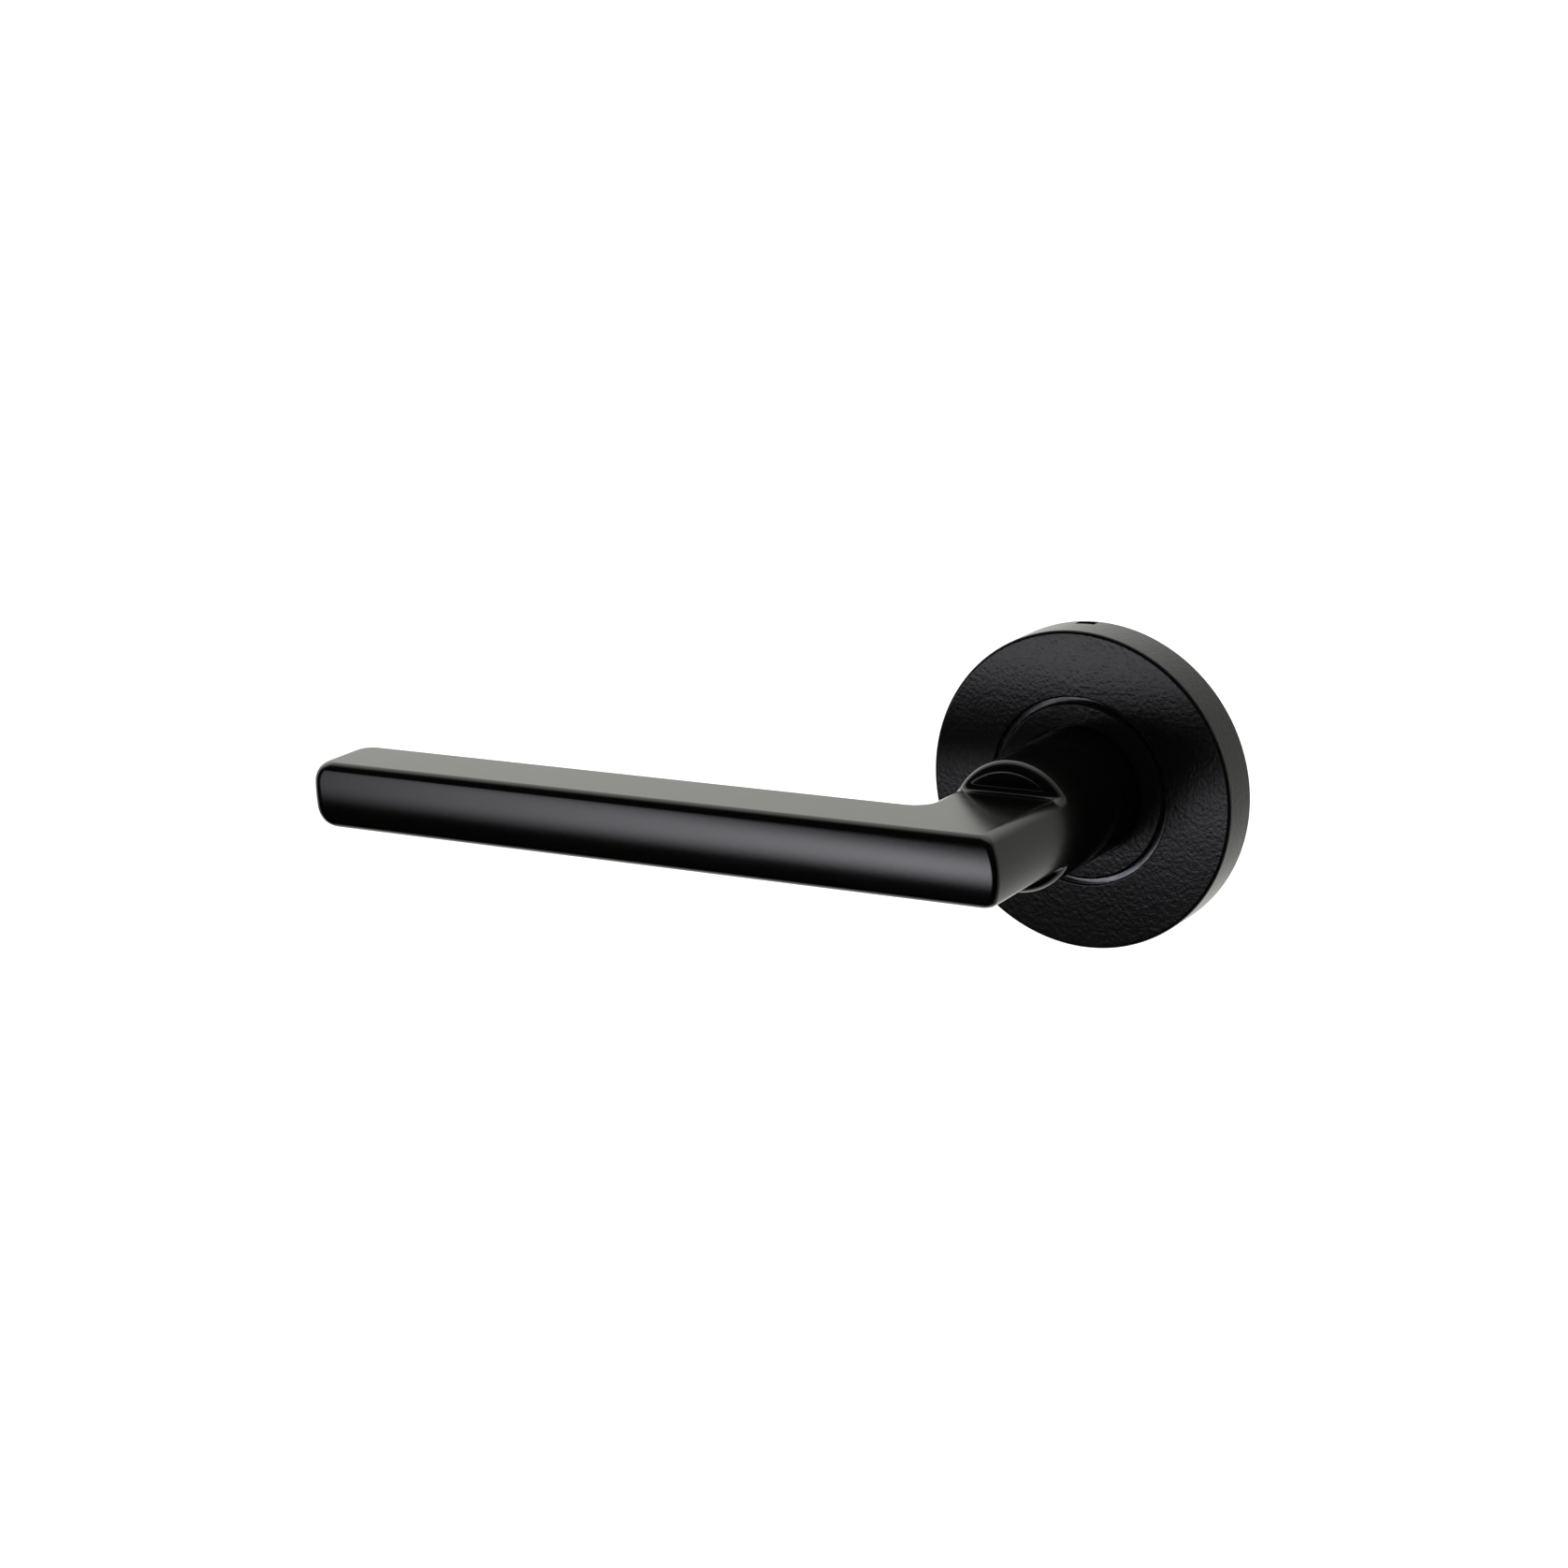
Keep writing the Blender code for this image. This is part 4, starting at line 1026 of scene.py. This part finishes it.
def brightness(tree, ramps):
    """Product of ramps, each given as value, kind, where it starts and ends, first and last."""
    level = None
    for value, kind, start, end, first, last in ramps:
        ramp = add(tree, "ShaderNodeMapRange", {
            "Value": value, "From Min": start, "From Max": end, "To Min": first,
            "To Max": last}, interpolation_type=kind)
        level = ramp if level is None else add(tree, "ShaderNodeMath", {0: level, 1: ramp},
                                               operation="MULTIPLY")
    return level


def surroundings(scene):
    """White paper all round, but a dark room in front for what the satin coat mirrors."""
    world = bpy.data.worlds.new("white_studio")
    scene.world = world
    world.use_nodes = True
    tree = world.node_tree
    tree.nodes.clear()
    way = add(tree, "ShaderNodeTexCoord").outputs["Generated"]
    apart = add(tree, "ShaderNodeSeparateXYZ", {0: way}).outputs
    mirrored = brightness(tree, ((apart["Y"], "SMOOTHSTEP", -0.25, 0.35, 0.003, 1.0),
                                 (apart["X"], "SMOOTHSTEP", -0.2, 0.6, 1.1, 0.5)))
    glossy = add(tree, "ShaderNodeLightPath").outputs["Is Glossy Ray"]
    level = add(tree, "ShaderNodeMix", {"Factor": glossy, 2: 1.15, 3: mirrored},
                data_type="FLOAT")
    light = add(tree, "ShaderNodeBackground", {"Color": WARM_WHITE, "Strength": level})
    add(tree, "ShaderNodeOutputWorld", {"Surface": light})


def front_softbox():
    """Broad soft light low in front on the left, brighter to the right, seen only mirrored."""
    left, right, low, high, place = -0.26, 0.08, -0.07, 0.06, -0.14
    shape = bmesh.new()
    corners = ((left, low), (right, low), (right, high), (left, high))
    shape.faces.new([shape.verts.new((x, place, z)) for x, z in corners])
    panel = built("front_softbox", shape)
    material, tree, _, coords = new_material("softbox_cloth")
    apart = add(tree, "ShaderNodeSeparateXYZ", {0: coords}).outputs
    lower, upper = (add(tree, "ShaderNodeMath", {0: apart["X"], 1: tilt, 2: apart["Z"]},
                        operation="MULTIPLY_ADD") for tilt in (0.08, 0.2))
    level = brightness(tree, ((apart["X"], "LINEAR", -0.205, -0.050, 0.7, 4.1),
                              (lower, "SMOOTHSTEP", -0.059, -0.026, 0.0, 1.0),
                              (upper, "SMOOTHSTEP", -0.030, 0.002, 1.0, 0.0),
                              (apart["X"], "SMOOTHSTEP", -0.26, -0.20, 0.0, 1.0),
                              (apart["X"], "SMOOTHSTEP", -0.04, 0.01, 1.0, 0.0)))
    glow = add(tree, "ShaderNodeEmission", {"Color": COOL_WHITE, "Strength": level})
    wire(tree, tree.nodes["Material Output"], {"Surface": glow})
    panel.data.materials.append(material)
    panel.visible_camera = False
    panel.visible_diffuse = False
    panel.visible_shadow = False
    panel.visible_transmission = False


def ceiling_softbox():
    """Wide soft light overhead, left out of what the coat mirrors."""
    data = bpy.data.lights.new("ceiling_softbox", "AREA")
    data.shape = "SQUARE"
    data.size = 1.6
    data.energy = 26.0
    lamp = bpy.data.objects.new("ceiling_softbox", data)
    lamp.location = (0.0, 0.2, 1.6)
    lamp.rotation_euler = (-lamp.location).to_track_quat("-Z", "Y").to_euler()
    lamp.visible_glossy = False
    bpy.context.scene.collection.objects.link(lamp)


def aim_camera(scene, studio):
    a, e, r = studio.azimuth, studio.elevation, studio.roll
    back = Vector((math.sin(a) * math.cos(e), -math.cos(a) * math.cos(e), math.sin(e)))
    level = Vector((math.cos(a), math.sin(a), 0.0))
    upward = back.cross(level)
    right = level * math.cos(r) + upward * math.sin(r)
    up = upward * math.cos(r) - level * math.sin(r)
    data = bpy.data.cameras.new("camera")
    data.sensor_width = 36.0
    data.lens = studio.lens
    data.shift_x, data.shift_y = CAMERA_SHIFT
    data.clip_start = 0.01
    camera = bpy.data.objects.new("camera", data)
    camera.matrix_world = Matrix((right, up, back)).transposed().to_4x4()
    camera.location = CAMERA_TARGET + back * studio.distance
    scene.collection.objects.link(camera)
    scene.camera = camera


class DOORLEVER_OT_stage(bpy.types.Operator):
    """Paper sweep, white surroundings, soft lights and the camera"""
    bl_idname = "doorlever.stage"
    bl_label = "Studio"

    def execute(self, context):
        scene = context.scene
        scene.view_settings.view_transform = "Standard"
        paper_sweep(scene.lever_studio.floor)
        surroundings(scene)
        front_softbox()
        ceiling_softbox()
        aim_camera(scene, scene.lever_studio)
        return {"FINISHED"}


class DOORLEVER_PT_panel(bpy.types.Panel):
    """Lists the pieces of the door lever"""
    bl_idname = "DOORLEVER_PT_panel"
    bl_label = "Door Lever"
    bl_space_type = "VIEW_3D"
    bl_region_type = "UI"
    bl_category = "Door Lever"

    def draw(self, context):
        layout = self.layout
        for operator in OPERATORS:
            layout.operator(operator.bl_idname)
        for name in SETTINGS:
            group = getattr(context.scene, name)
            box = layout.box()
            for key in group.__annotations__:
                box.prop(group, key)


SETTINGS = {"lever_sizes": LeverSizes, "rose_sizes": RoseSizes, "fixing_sizes": FixingSizes,
            "lever_finish": Finish, "lever_studio": Studio}
OPERATORS = (DOORLEVER_OT_lever, DOORLEVER_OT_collar, DOORLEVER_OT_cover, DOORLEVER_OT_base,
             DOORLEVER_OT_cassette, DOORLEVER_OT_rings, DOORLEVER_OT_springs,
             DOORLEVER_OT_fixings, DOORLEVER_OT_spindle, DOORLEVER_OT_stage)
CLASSES = tuple(SETTINGS.values()) + OPERATORS + (DOORLEVER_PT_panel,)


def register():
    for item in CLASSES:
        bpy.utils.register_class(item)
    for name, group in SETTINGS.items():
        setattr(bpy.types.Scene, name, PointerProperty(type=group))


def unregister():
    for name in SETTINGS:
        delattr(bpy.types.Scene, name)
    for item in reversed(CLASSES):
        bpy.utils.unregister_class(item)


def main():
    register()
    bpy.ops.doorlever.lever()
    bpy.ops.doorlever.collar()
    bpy.ops.doorlever.cover()
    bpy.ops.doorlever.base()
    bpy.ops.doorlever.cassette()
    bpy.ops.doorlever.rings()
    bpy.ops.doorlever.springs()
    bpy.ops.doorlever.fixings()
    bpy.ops.doorlever.spindle()
    bpy.ops.doorlever.stage()


if __name__ == "__main__":
    main()
